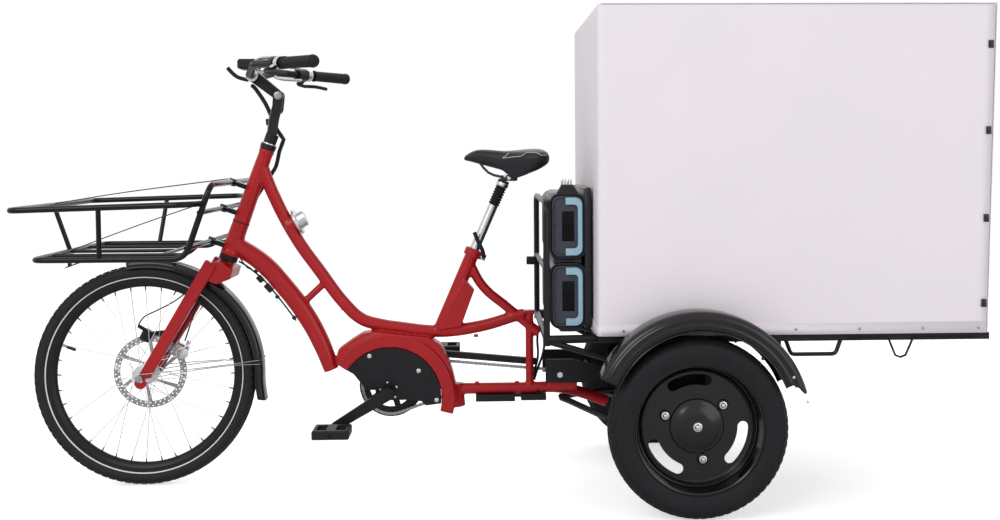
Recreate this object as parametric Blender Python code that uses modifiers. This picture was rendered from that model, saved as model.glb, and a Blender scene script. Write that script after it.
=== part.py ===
# Electric cargo trike: one spoked wheel in front, two small wheels and a covered cargo box behind.
# Metres, +Z up. The front of the trike points along -X and the rider's left is -Y.
import math

import bmesh
import bpy
from mathutils import Matrix, Vector

# Clearances
SEAT_GAP = 0.0003
RUN_GAP = 0.0008

# Cargo box
BOX_FRONT_X = 1.2213
BOX_LENGTH = 0.9930
BOX_WIDTH = 0.7200
BOX_BOTTOM_Z = 0.4470
BOX_TOP_Z = 1.2873
BOX_LEAN = 0.0310

# Wheels and stations along the trike, measured from the front axle
FRONT_TYRE_R = 0.3035
FRONT_TYRE_W = 0.050
FRONT_RIM_R = FRONT_TYRE_R - 0.0385
FRONT_RIM_INNER_R = FRONT_RIM_R - 0.0210
FRONT_RIM_W = 0.032
FRONT_HUB_W = 0.096
FRONT_STEPS = 40
REAR_STEPS = 32
SPOKE_PAIRS = 16
SPOKE_R = 0.0013
DISC_R = 0.1015
DISC_Y = 0.0440
DISC_T = 0.0020
DISC_BOSS_R = 0.0225
REAR_TYRE_R = 0.2255
REAR_TYRE_W = 0.085
REAR_RIM_R = REAR_TYRE_R - 0.0655
REAR_RIM_W = 0.070
REAR_AXLE_X = 1.4640
REAR_WHEEL_Y = BOX_WIDTH / 2 + 0.0420
REAR_AXLE_R = 0.0125

# Steering axis: a point on it and its lean back from upright
STEER_X = 0.2238
STEER_Z = 0.6120
STEER_LEAN = math.radians(19.9)
STEERER_R = 0.0143
HEAD_R_TOP = 0.0190
HEAD_R_BOTTOM = 0.0250
HEAD_START = 0.0205
HEAD_END = 0.3320
HEAD_CUP = 0.0140
CABLE_MEET = 0.3520
DIAL_X = 0.4160
DIAL_Z = 0.7210
DIAL_UP = math.radians(26.9)
FORK_LEG_Y = 0.0610
FORK_LEG_W = 0.0200
FORK_LEG_D = 0.0340
FORK_AXLE_R = 0.0070

# Frame tubes
UPPER_TUBE_R = 0.0175
DOWN_TUBE_R = 0.0265
REAR_TUBE_R = 0.0145
STAY_TUBE_R = 0.0135
MOTOR_X = 0.6750
MOTOR_Z = 0.2320
COVER_R = 0.1420
ARCH_DEPTH = 0.0340
ARCH_W = 0.0760
WEB_Y = -0.0290
WEB_T = 0.0050
COVER_T = 0.0110
COVER_WEB_Z = 0.2900
AXLE_PLATE_Y = 0.0850
AXLE_PLATE_T = 0.0060

# Seat
SEAT_X = 0.9110
SEAT_Z = 0.6430
SEAT_LEAN = math.radians(23.6)
SEAT_TUBE_R = 0.0190
SEATPOST_R = 0.0136
PLUNGER_R = 0.0105
SEATPOST_TOP = 0.1330
SEATPOST_IN = 0.1400
RAIL_WIRE_R = 0.0035
LEVER_FOOT = (-0.0330, -0.0200)

# Drive
CRANK_X = 0.6730
CRANK_Z = 0.2560
CRANK_LENGTH = 0.1680
CRANK_DROP = math.radians(31.0)
CRANK_ARM_Y = 0.0850
CRANK_ARM_W = 0.0130
CRANK_AXLE_R = 0.0110
PEDAL_PIN_R = 0.0045
PEDAL_Y = 0.1500
PEDAL_W = 0.0900
CHAIN_Y = 0.0500
CHAIN_W = 0.0070
CHAIN_H = 0.0085
CHAINRING_TEETH = 40
SPROCKET_TEETH = 18
CHAIN_PITCH = 0.0127
CHAIN_LOW_Z = 0.2520
LOWER_TUBE_Z = 0.2530
HUB_BOSS_R = 0.0320
BOLT_CIRCLE_R = 0.0840

# Cargo frame
CLOTH_T = 0.0030
RAIL_Y = BOX_WIDTH / 2 - 0.0250
RAIL_W = 0.0200
RAIL_H = 0.0170
CROSS_SHARE = 0.94
BOW_IN = 0.0030
DECK_T = 0.0120
BOX_TUBE_R = 0.0100

# Batteries and their rack
BATTERY_X = 1.1545
BATTERY_W = 0.0820
BATTERY_H = 0.1580
BATTERY_L = 0.3700
BATTERY_END_Y = -0.2450
LOWER_BATTERY_Z = 0.5360
UPPER_BATTERY_Z = 0.7180
PORTAL_X = 1.0970
PORTAL_Y = BOX_WIDTH / 2 - 0.0900
PORTAL_TOP_Z = 0.7820
RACK_TUBE_R = 0.0085

# Basket
BASKET_FRONT_X = -0.2500
BASKET_TOP_Z = 0.7800
BASKET_BOTTOM_Z = 0.6450
BASKET_TOP_Y = 0.3420
BASKET_BOTTOM_Y = 0.2950
BASKET_TUBE_R = 0.0080
BASKET_SIDE_IN = 0.0450
HOOP_OFFSET = 0.0600

# Handlebar
STEM_PIVOT_X = 0.3696
STEM_PIVOT_Z = 1.0727
BAR_X = 0.3000
BAR_Z = 1.1280
BAR_R = 0.0111
GRIP_R = 0.0160
GRIP_L = 0.1280
BAR_END = Vector((0.5142, 0.3700, 1.1412))
BAR_ELBOW = Vector((0.3320, 0.1690, 1.1480))

# Sections along the saddle: place, half width, underside and top
SADDLE_SECTIONS = [
    (0.8830, 0.010, 0.8890, 0.8990), (0.8950, 0.020, 0.8860, 0.9070), (0.9200, 0.024, 0.8880, 0.9200),
    (0.9500, 0.027, 0.8740, 0.9190), (0.9800, 0.034, 0.8640, 0.9170), (1.0100, 0.052, 0.8560, 0.9170),
    (1.0400, 0.077, 0.8560, 0.9200), (1.0700, 0.094, 0.8620, 0.9230), (1.0950, 0.096, 0.8700, 0.9220),
    (1.1120, 0.082, 0.8790, 0.9140), (1.1190, 0.060, 0.8850, 0.9020),
]

PARTS = bpy.data.collections.new("cargo_trike")
CUTTERS = bpy.data.collections.new("cutters")


def clear_scene():
    for old in list(bpy.data.objects):
        bpy.data.objects.remove(old, do_unlink=True)
    bpy.context.scene.collection.children.link(PARTS)
    bpy.context.scene.collection.children.link(CUTTERS)


def paint(obj, name, colour, roughness, metallic=0.0):
    material = bpy.data.materials.get(name) or bpy.data.materials.new(name)
    material.use_nodes = True
    shader = material.node_tree.nodes["Principled BSDF"]
    shader.inputs["Base Color"].default_value = (*colour, 1.0)
    shader.inputs["Roughness"].default_value = roughness
    shader.inputs["Metallic"].default_value = metallic
    obj.data.materials.clear()
    obj.data.materials.append(material)
    return obj


def red_paint(obj):
    return paint(obj, "red_paint", (0.51, 0.030, 0.042), 0.3)


def black_paint(obj):
    return paint(obj, "black_paint", (0.018, 0.018, 0.020), 0.35)


def black_plastic(obj):
    return paint(obj, "black_plastic", (0.020, 0.020, 0.022), 0.55)


def black_rubber(obj):
    return paint(obj, "black_rubber", (0.016, 0.016, 0.016), 0.8)


def tyre_rubber(obj):
    return paint(obj, "tyre_rubber", (0.018, 0.018, 0.018), 0.85)


def bright_metal(obj):
    return paint(obj, "bright_metal", (0.62, 0.62, 0.63), 0.25, 1.0)


def bright_steel(obj):
    return paint(obj, "bright_steel", (0.58, 0.58, 0.59), 0.3, 1.0)


def dark_metal(obj):
    return paint(obj, "dark_metal", (0.06, 0.06, 0.065), 0.4, 1.0)


def grey_case(obj):
    return paint(obj, "grey_case", (0.07, 0.08, 0.10), 0.45)


def pale_cloth(obj):
    return paint(obj, "pale_cloth", (0.78, 0.73, 0.79), 0.6)


# Points on the two slanted axes, the first number along the axis and the second forward of it
def on_axis(x, z, lean, along, forward=0.0, y=0.0):
    return Vector((
        x + along * math.sin(lean) - forward * math.cos(lean),
        y,
        z + along * math.cos(lean) + forward * math.sin(lean),
    ))


def steer(along, forward=0.0, y=0.0):
    return on_axis(STEER_X, STEER_Z, STEER_LEAN, along, forward, y)


def seat(along, forward=0.0, y=0.0):
    return on_axis(SEAT_X, SEAT_Z, SEAT_LEAN, along, forward, y)


def new_object(name, bm):
    mesh = bpy.data.meshes.new(name)
    bm.to_mesh(mesh)
    bm.free()
    obj = bpy.data.objects.new(name, mesh)
    PARTS.objects.link(obj)
    return obj


def baked(obj):
    depsgraph = bpy.context.evaluated_depsgraph_get()
    mesh = bpy.data.meshes.new_from_object(obj.evaluated_get(depsgraph))
    bm = bmesh.new()
    bm.from_mesh(mesh)
    bmesh.ops.remove_doubles(bm, verts=bm.verts, dist=0.00001)
    bm.transform(obj.matrix_world)
    name = obj.name
    bpy.data.objects.remove(obj, do_unlink=True)
    bpy.data.meshes.remove(mesh)
    return new_object(name, bm)


def rounded_path(points, radius, steps=3):
    corners = [Vector(p) for p in points]
    path = [corners[0]]
    for before, corner, after in zip(corners, corners[1:], corners[2:]):
        into = (before - corner).normalized()
        out = (after - corner).normalized()
        half = into.angle(out) / 2
        cut = min(radius / math.tan(half), 0.45 * (before - corner).length, 0.45 * (after - corner).length)
        start = corner + into * cut
        end = corner + out * cut
        for step in range(steps + 1):
            t = step / steps
            path.append(start * (1 - t) ** 2 + corner * 2 * t * (1 - t) + end * t ** 2)
    path.append(corners[-1])
    return path


def smooth_path(points, steps=4):
    p = [Vector(q) for q in points]
    p = [p[0] * 2 - p[1]] + p + [p[-1] * 2 - p[-2]]
    path = []
    for a, b, c, d in zip(p, p[1:], p[2:], p[3:]):
        for step in range(steps):
            t = step / steps
            path.append(0.5 * (
                2 * b + (c - a) * t + (2 * a - 5 * b + 4 * c - d) * t ** 2
                + (3 * b - a - 3 * c + d) * t ** 3
            ))
    path.append(p[-2])
    return path


def tube(name, path, radius, sides_step=2, cyclic=False, radii=None):
    curve = bpy.data.curves.new(name, "CURVE")
    curve.dimensions = "3D"
    curve.bevel_depth = radius
    curve.bevel_resolution = sides_step
    curve.use_fill_caps = not cyclic
    spline = curve.splines.new("POLY")
    spline.points.add(len(path) - 1)
    for point, place in zip(spline.points, path):
        point.co = (*place, 1.0)
    if radii:
        for point, size in zip(spline.points, radii):
            point.radius = size / radius
    spline.use_cyclic_u = cyclic
    obj = bpy.data.objects.new(name, curve)
    PARTS.objects.link(obj)
    return baked(obj)


def rod(name, start, end, radius, sides=16, end_radius=None):
    start = Vector(start)
    end = Vector(end)
    span = end - start
    bm = bmesh.new()
    bmesh.ops.create_cone(
        bm, cap_ends=True, segments=sides, radius1=radius,
        radius2=radius if end_radius is None else end_radius, depth=span.length,
    )
    turn = span.to_track_quat("Z", "Y").to_matrix().to_4x4()
    bm.transform(Matrix.Translation((start + end) / 2) @ turn)
    return new_object(name, bm)


def block(name, size, centre, turn=None, bevel=0.0, segments=1):
    bm = bmesh.new()
    bmesh.ops.create_cube(bm, size=1.0)
    bm.transform(Matrix.Diagonal((*size, 1.0)))
    if bevel:
        bmesh.ops.bevel(bm, geom=bm.edges, offset=bevel, segments=segments, affect="EDGES", profile=0.5)
    if turn is not None:
        bm.transform(turn)
    bm.transform(Matrix.Translation(Vector(centre)))
    return new_object(name, bm)


# A flat outline in the XZ plane, thickened along Y about the given place
def plate(name, outlines, y, thickness):
    curve = bpy.data.curves.new(name, "CURVE")
    curve.dimensions = "2D"
    curve.fill_mode = "BOTH"
    curve.extrude = thickness / 2
    for outline in outlines:
        spline = curve.splines.new("POLY")
        spline.points.add(len(outline) - 1)
        for point, (x, z) in zip(spline.points, outline):
            point.co = (x, z, 0.0, 1.0)
        spline.use_cyclic_u = True
    obj = bpy.data.objects.new(name, curve)
    obj.matrix_world = Matrix.Translation((0, y, 0)) @ Matrix.Rotation(math.pi / 2, 4, "X")
    PARTS.objects.link(obj)
    bpy.context.view_layer.update()
    flat = baked(obj)
    set_faces_outward(flat)
    return flat


def set_faces_outward(obj):
    bm = bmesh.new()
    bm.from_mesh(obj.data)
    bmesh.ops.recalc_face_normals(bm, faces=bm.faces)
    if bm.calc_volume(signed=True) < 0:
        bmesh.ops.reverse_faces(bm, faces=bm.faces)
    bm.to_mesh(obj.data)
    bm.free()


# Turns a mesh made round Z so that its axis lies along Y, and puts it at its centre
def lay_along_y(obj, centre, turn_deg=0.0):
    turn = Matrix.Rotation(math.pi / 2, 4, "X") @ Matrix.Rotation(math.radians(turn_deg), 4, "Z")
    obj.data.transform(Matrix.Translation(Vector(centre)) @ turn)


def arc(cx, cz, radius, start_deg, end_deg, steps):
    return [
        (
            cx + radius * math.cos(math.radians(start_deg + (end_deg - start_deg) * i / steps)),
            cz + radius * math.sin(math.radians(start_deg + (end_deg - start_deg) * i / steps)),
        )
        for i in range(steps + 1)
    ]


def circle(cx, cz, radius, steps):
    return arc(cx, cz, radius, 0, 360 * (steps - 1) / steps, steps - 1)


# A closed profile of (radius, across), turned round an axis along Y through the centre
def ring(name, profile, centre, steps):
    bm = bmesh.new()
    verts = [bm.verts.new((r, 0.0, -a)) for r, a in profile]
    for pair in zip(verts, verts[1:] + verts[:1]):
        bm.edges.new(pair)
    obj = new_object(name, bm)
    screw = obj.modifiers.new("turn", "SCREW")
    screw.steps = steps
    screw.render_steps = steps
    screw.use_merge_vertices = True
    screw.merge_threshold = 0.00001
    turned = baked(obj)
    lay_along_y(turned, centre)
    set_faces_outward(turned)
    return turned


def united(name, pieces):
    base = pieces[0]
    for piece in pieces[1:]:
        joined = base.modifiers.new("join", "BOOLEAN")
        joined.operation = "UNION"
        joined.solver = "EXACT"
        joined.object = piece
        base = baked(base)
        bpy.data.objects.remove(piece, do_unlink=True)
    base.name = name
    base.data.name = name
    return base


def without(obj, *cutters):
    name = obj.name
    for cutter in cutters:
        PARTS.objects.unlink(cutter)
        CUTTERS.objects.link(cutter)
        cutter.hide_render = True
        cutter.display_type = "WIRE"
        cut = obj.modifiers.new("cut", "BOOLEAN")
        cut.operation = "DIFFERENCE"
        cut.solver = "EXACT"
        cut.object = cutter
        obj = baked(obj)
        bpy.data.objects.remove(cutter, do_unlink=True)
    obj.name = name
    return obj


def joint_empty(name, place, parent=None):
    empty = bpy.data.objects.new(name, None)
    PARTS.objects.link(empty)
    empty.location = place
    bpy.context.view_layer.update()
    if parent:
        empty.parent = parent
        empty.matrix_parent_inverse = parent.matrix_world.inverted()
    bpy.context.view_layer.update()
    return empty


def hang_on(empty, *objects):
    for obj in objects:
        obj.parent = empty
        obj.matrix_parent_inverse = empty.matrix_world.inverted()


def shade(obj):
    obj.data.shade_smooth()
    obj.data.set_sharp_from_angle(angle=math.radians(35))


# Frame

def make_frame():
    head = rod("head", steer(HEAD_START), steer(HEAD_END), HEAD_R_BOTTOM, 20, HEAD_R_TOP)
    upper_path = smooth_path([
        steer(0.285), (0.352, 0, 0.800), (0.417, 0, 0.675), (0.478, 0, 0.588), (0.560, 0, 0.480),
        (0.630, 0, 0.425), (0.710, 0, 0.412), (0.830, 0, 0.4090), (0.935, 0, 0.4220), (1.043, 0, 0.4460),
    ], 2)
    tip = (REAR_TUBE_R - UPPER_TUBE_R) / 6
    sizes = [UPPER_TUBE_R + tip * max(0, i - 12) for i in range(len(upper_path))]
    upper = tube("upper", upper_path, UPPER_TUBE_R, 3, radii=sizes)
    down = tube("down", smooth_path([
        steer(0.055), (0.325, 0, 0.606), (0.378, 0, 0.548), (0.440, 0, 0.465),
        (0.498, 0, 0.371), (0.530, 0, 0.318),
    ], 2), DOWN_TUBE_R, 3)
    brace = rod("brace", (0.425, 0, 0.488), (0.500, 0, 0.558), 0.0100, 12)
    arch_r = COVER_R + RUN_GAP
    outline = arc(MOTOR_X, MOTOR_Z, arch_r + ARCH_DEPTH, -12, 152, 18)
    outline += arc(MOTOR_X, MOTOR_Z, arch_r, 152, -12, 18)
    arch = plate("arch", [outline], 0.0, ARCH_W)
    shell = plate("shell", [[
        (0.5331, 0.3724), (0.5993, 0.4158), (0.6350, 0.4180), (0.7100, 0.4050), (0.8000, 0.4000),
        (0.8160, 0.3800),
    ] + arc(MOTOR_X, MOTOR_Z, arch_r + ARCH_DEPTH / 2, 42, 138, 12)], 0.0, 0.056)
    web_r = arch_r + 0.005
    web_start = math.degrees(math.asin((COVER_WEB_Z - MOTOR_Z) / web_r))
    web = plate("web", [arc(MOTOR_X, MOTOR_Z, web_r, web_start, 148, 14) + [(0.610, COVER_WEB_Z)]],
                WEB_Y + WEB_T / 2, WEB_T)
    seat_tube = rod("seat_tube", seat(-0.256), seat(0.0), SEAT_TUBE_R, 20)
    housing = plate("housing", [[
        (0.800, 0.418), (0.8720, 0.425), (0.9096, 0.5293), (0.880, 0.556),
    ]], 0.0, 0.046)
    stay = tube("stay", smooth_path([
        seat(-0.040), (0.932, 0, 0.540), (1.000, 0, 0.480), (1.063, 0, 0.432), (1.078, 0, 0.4215),
    ], 2), STAY_TUBE_R, 2)
    lower = tube("lower", rounded_path([
        (MOTOR_X + arch_r + ARCH_DEPTH / 2, 0, LOWER_TUBE_Z), (1.160, 0, LOWER_TUBE_Z), (1.280, 0, 0.2120),
    ], 0.05), REAR_TUBE_R, 2)
    strut = rod("strut", (1.0630, 0, LOWER_TUBE_Z), (1.0630, 0, 0.418), 0.0110, 14)
    out = Vector((math.cos(DIAL_UP), 0, math.sin(DIAL_UP)))
    seat_face = Vector((DIAL_X, 0, DIAL_Z))
    boss = rod("boss", seat_face - out * 0.0300, seat_face, 0.0230, 16)
    lug = block("lug", (0.080, AXLE_PLATE_Y - AXLE_PLATE_T / 2 - SEAT_GAP + 0.012, 0.080), (
        1.155, (0.012 - AXLE_PLATE_Y + AXLE_PLATE_T / 2 + SEAT_GAP) / 2, 0.290,
    ))
    frame = united("main_frame", [
        head, upper, down, brace, arch, shell, web, seat_tube, housing, stay, lower, strut, boss, lug,
    ])
    bore = rod("head_bore", steer(HEAD_START - 0.01), steer(HEAD_END + 0.01), STEERER_R + RUN_GAP, 20)
    seat_bore = rod("seat_bore", seat(-SEATPOST_IN - 0.09), seat(0.01), SEATPOST_R + SEAT_GAP, 20)
    frame = without(frame, bore, seat_bore)
    return red_paint(frame)


def make_headset():
    lower = rod("headset_lower", steer(HEAD_START - HEAD_CUP), steer(HEAD_START - SEAT_GAP),
                HEAD_R_BOTTOM + 0.001, 20)
    upper = rod("headset_upper", steer(HEAD_END + SEAT_GAP), steer(HEAD_END + HEAD_CUP),
                HEAD_R_TOP + 0.003, 20)
    cups = []
    for cup in (lower, upper):
        bore = rod("cup_bore", steer(-0.05), steer(0.45), STEERER_R + RUN_GAP, 20)
        cups.append(black_paint(without(cup, bore)))
    return cups


# Fork, front wheel and brake

def make_fork():
    crown_top = HEAD_START - HEAD_CUP - RUN_GAP
    steerer = rod("steerer", steer(crown_top - 0.01), steer(HEAD_END + HEAD_CUP), STEERER_R, 20)
    turn = Matrix.Rotation(STEER_LEAN, 4, "Y")
    crown = block("crown", (0.088, 2 * FORK_LEG_Y + FORK_LEG_W, 0.034), steer(crown_top - 0.017, 0.026),
                  turn, 0.006)
    pieces = [steerer, crown]
    leg_top = steer(crown_top - 0.008, 0.0530)
    leg_foot = Vector((0.0015, 0, FRONT_TYRE_R - 0.019))
    lean = math.atan2(leg_top.x - leg_foot.x, leg_top.z - leg_foot.z)
    middle = (leg_top + leg_foot) / 2
    length = (leg_top - leg_foot).length
    for side in (-1, 1):
        centre = (middle.x, side * FORK_LEG_Y, middle.z)
        pieces.append(block("leg", (FORK_LEG_D, FORK_LEG_W, length), centre,
                            Matrix.Rotation(lean, 4, "Y"), 0.005))
    fork = united("fork", pieces)
    hole = rod("axle_hole", (0, -0.2, FRONT_TYRE_R), (0, 0.2, FRONT_TYRE_R), FORK_AXLE_R + SEAT_GAP, 16)
    return red_paint(without(fork, hole))


def make_front_wheel():
    centre = (0, 0, FRONT_TYRE_R)
    w = FRONT_TYRE_W / 2
    inner = FRONT_RIM_R + SEAT_GAP
    tyre = ring("front_tyre", [
        (FRONT_TYRE_R, 0.007), (FRONT_TYRE_R, -0.007), (FRONT_TYRE_R - 0.005, -0.7 * w),
        (FRONT_TYRE_R - 0.016, -w), (inner + 0.008, -0.85 * w), (inner, -0.66 * w), (inner, 0.66 * w),
        (inner + 0.008, 0.85 * w), (FRONT_TYRE_R - 0.016, w), (FRONT_TYRE_R - 0.005, 0.7 * w),
    ], centre, FRONT_STEPS)
    half = FRONT_RIM_W / 2
    rim = ring("front_rim", [
        (FRONT_RIM_R, half), (FRONT_RIM_R, -half), (FRONT_RIM_R - 0.009, -half),
        (FRONT_RIM_INNER_R, -0.3 * half), (FRONT_RIM_INNER_R, 0.3 * half), (FRONT_RIM_R - 0.009, half),
    ], centre, FRONT_STEPS)
    flange = 0.0270
    hub_half = FRONT_HUB_W / 2 - 0.008
    bore = FORK_AXLE_R + RUN_GAP
    hub = ring("hub", [
        (bore, -hub_half), (0.012, -hub_half), (flange, -hub_half + 0.006),
        (flange, -hub_half + 0.010), (0.0160, -hub_half + 0.015), (0.0160, hub_half - 0.015),
        (flange, hub_half - 0.010), (flange, hub_half - 0.006), (DISC_BOSS_R, hub_half - 0.004),
        (DISC_BOSS_R, DISC_Y - DISC_T / 2 - SEAT_GAP), (bore, DISC_Y - DISC_T / 2 - SEAT_GAP),
    ], centre, 20)
    pieces = [hub]
    for index in range(2 * SPOKE_PAIRS):
        side = -1 if index % 2 else 1
        angle = 2 * math.pi * index / (2 * SPOKE_PAIRS)
        lean = math.radians(7) * (1 if index % 4 < 2 else -1)
        foot = Vector((
            (flange - 0.004) * math.cos(angle + lean), side * (hub_half - 0.008),
            (flange - 0.004) * math.sin(angle + lean),
        ))
        reach = FRONT_RIM_INNER_R * math.cos(math.pi / FRONT_STEPS) - RUN_GAP
        tip = Vector((reach * math.cos(angle), side * 0.003, reach * math.sin(angle)))
        pieces.append(rod("spoke", foot + Vector(centre), tip + Vector(centre), SPOKE_R, 4))
    hub = united("front_hub", pieces)
    axle_end = FORK_LEG_Y + FORK_LEG_W / 2
    z = FRONT_TYRE_R
    axle = rod("shaft", (0, -axle_end - 0.008, z), (0, axle_end + 0.008, z), FORK_AXLE_R, 16)
    nuts = [
        rod("nut", (0, side * (axle_end + SEAT_GAP), z), (0, side * (axle_end + 0.007), z), 0.0110, 6)
        for side in (-1, 1)
    ]
    axle = united("front_axle", [axle] + nuts)
    tyre_rubber(tyre)
    black_paint(rim)
    bright_metal(hub)
    bright_steel(axle)
    return tyre, rim, hub, axle


def make_brake():
    z = FRONT_TYRE_R
    outlines = [circle(0, z, DISC_R, 40), circle(0, z, FORK_AXLE_R + RUN_GAP, 16)]
    arms = 6
    step = 360 / arms
    for index in range(arms):
        start = step * index
        near = arc(0, z, DISC_BOSS_R + 0.002, start + 9, start + step - 9, 2)
        far = arc(0, z, DISC_R - 0.0165, start + step + 24, start + 33, 5)
        outlines.append(near + far)
    return bright_steel(plate("brake_disc", outlines, DISC_Y, DISC_T))


def make_caliper(name, size, place, leg_spot):
    arm_t = 0.0040
    arm_y = FORK_LEG_Y - FORK_LEG_W / 2 - SEAT_GAP - arm_t / 2
    x, z = place
    body = block("body", (size, 0.030, size), (x, DISC_Y, z), Matrix.Rotation(0.46, 4, "Y"), 0.005)
    knob = rod("knob", (x, DISC_Y - 0.0170, z), (x, DISC_Y, z), size * 0.36, 16)
    arm = hulled_plate("arm", place, 0.0090, leg_spot, 0.0090, arm_y, arm_t, 4)
    caliper = united(name, [body, knob, arm])
    slot_half = DISC_T / 2 + 0.0012
    reach = DISC_R + 0.004
    slot = ring("slot", [(reach, slot_half), (reach, -slot_half), (0.001, -slot_half), (0.001, slot_half)],
                (0, DISC_Y, FRONT_TYRE_R), 40)
    return without(caliper, slot)


# Fenders

def fender(name, centre, radius, half_width, lip, start_deg, sweep_deg, steps):
    bm = bmesh.new()
    corner = 0.20 * half_width
    profile = [
        (radius - lip, -half_width), (radius - corner, -0.98 * half_width), (radius, -0.6 * half_width),
        (radius, 0.6 * half_width), (radius - corner, 0.98 * half_width), (radius - lip, half_width),
    ]
    verts = [bm.verts.new((r, 0.0, a)) for r, a in profile]
    for pair in zip(verts, verts[1:]):
        bm.edges.new(pair)
    obj = new_object(name, bm)
    screw = obj.modifiers.new("turn", "SCREW")
    screw.angle = math.radians(sweep_deg)
    screw.steps = steps
    screw.render_steps = steps
    screw.merge_threshold = 0.00001
    skin = obj.modifiers.new("skin", "SOLIDIFY")
    skin.thickness = 0.0020
    skin.offset = 0.0
    shell = baked(obj)
    lay_along_y(shell, centre, start_deg)
    bm = bmesh.new()
    bm.from_mesh(shell.data)
    if bm.calc_volume(signed=True) < 0:
        bmesh.ops.reverse_faces(bm, faces=bm.faces)
    bm.to_mesh(shell.data)
    bm.free()
    return shell


def make_front_fender():
    cx, cz, radius, half = 0.0085, FRONT_TYRE_R + 0.0015, FRONT_TYRE_R + 0.0130, 0.0310
    skin = fender("front_fender", (cx, 0, cz), radius, half, 0.019, -13, 123, 16)
    out = math.radians(57.9)
    tab_h = 0.0222
    reach = radius + tab_h / 2
    tab = block("tab", (0.024, 0.022, tab_h), (cx + reach * math.cos(out), 0, cz + reach * math.sin(out)),
                Matrix.Rotation(math.pi / 2 - out, 4, "Y"))
    skin = united("front_fender", [skin, tab])
    end_y = FORK_LEG_Y + FORK_LEG_W / 2 + 0.0105
    stay_x = cx + radius + 0.0032
    stay_z = FRONT_TYRE_R + 0.0345
    wire = tube("fender_stay", rounded_path([
        (0.000, -end_y, FRONT_TYRE_R + 0.012), (stay_x, -half - 0.004, stay_z),
        (stay_x, half + 0.004, stay_z), (0.000, end_y, FRONT_TYRE_R + 0.012),
    ], 0.012, 2), 0.0024, 1)
    return black_paint(skin), bright_steel(wire)


# Basket

def make_basket():
    r = BASKET_TUBE_R
    top_z = BASKET_TOP_Z
    low_z = BASKET_BOTTOM_Z
    top_y = BASKET_TOP_Y
    low_y = BASKET_BOTTOM_Y
    front = BASKET_FRONT_X
    low_front = front + BASKET_SIDE_IN
    rear_low = steer(0.030, HOOP_OFFSET).x
    leg_at_top = steer(0.160, HOOP_OFFSET)
    hoop_top = steer(0.2140, HOOP_OFFSET)
    top = tube("top", rounded_path([
        (leg_at_top.x, -low_y + 0.011, top_z + 0.006), (leg_at_top.x - 0.030, -top_y, top_z + 0.005),
        (front, -top_y, top_z - 0.007), (front, top_y, top_z - 0.007),
        (leg_at_top.x - 0.030, top_y, top_z + 0.005), (leg_at_top.x, low_y - 0.011, top_z + 0.006),
    ], 0.030, 3), r, 1)
    bottom = tube("bottom", rounded_path([
        (hoop_top.x, -0.02, hoop_top.z), (hoop_top.x, -low_y + 0.02, hoop_top.z), (rear_low, -low_y, low_z),
        (low_front, -low_y, low_z), (low_front, low_y, low_z), (rear_low, low_y, low_z),
        (hoop_top.x, low_y - 0.02, hoop_top.z), (hoop_top.x, 0.02, hoop_top.z),
    ], 0.035, 3), r, 1, cyclic=True)
    pieces = [bottom, top]
    for side in (-1, 1):
        pieces.append(rod("upright", (-0.025, side * top_y, top_z), (-0.037, side * low_y, low_z),
                          r * 0.85, 8))
    pieces.append(rod("front_strut", (front, 0, top_z - 0.007), (low_front, 0, low_z), r * 0.85, 8))
    bar_y = 0.150
    short_x = 0.085
    for y in (-bar_y, bar_y):
        path = [(low_front, y, low_z), (0.150, y, low_z), steer(0.042, HOOP_OFFSET, y)]
        pieces.append(tube("floor_bar", path, 0.0050, 1))
    pieces.append(rod("short_bar", (low_front, 0, low_z), (short_x, 0, low_z), 0.0050, 8))
    pieces.append(rod("cross_bar", (short_x, -bar_y, low_z), (short_x, bar_y, low_z), 0.0050, 8))
    low_bar = steer(0.1380, HOOP_OFFSET)
    floor_bar = steer(0.042, HOOP_OFFSET)
    for place in (low_bar, floor_bar):
        pieces.append(rod("crossbar", (place.x, -low_y, place.z), (place.x, low_y, place.z), r * 0.9, 8))
    for along in (0.2140, 0.1380, 0.042):
        pieces.append(block("bracket", (HOOP_OFFSET, 0.030, 0.020), steer(along, HOOP_OFFSET / 2 + 0.003),
                            Matrix.Rotation(STEER_LEAN, 4, "Y")))
    lamp_x = low_front
    pieces.append(block("lamp_plate", (0.046, 0.036, 0.0030), (lamp_x + 0.012, 0, low_z - 0.036),
                        Matrix.Rotation(math.radians(-20), 4, "Y")))
    pieces.append(block("lamp_web", (0.0030, 0.030, 0.044), (lamp_x - 0.002, 0, low_z - 0.018)))
    basket = united("basket", pieces)
    room = rod("head_room", steer(HEAD_START), steer(HEAD_END), HEAD_R_BOTTOM + RUN_GAP, 20,
               HEAD_R_TOP + RUN_GAP)
    return black_paint(without(basket, room))


# Handlebar

def grip_point(side, back, forward=0.0, up=0.0):
    run = (BAR_END - BAR_ELBOW).normalized()
    ahead = Vector((-run.y, run.x, 0)).normalized()
    place = BAR_END - run * back + ahead * forward
    return Vector((place.x, side * place.y, place.z + up))


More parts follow.
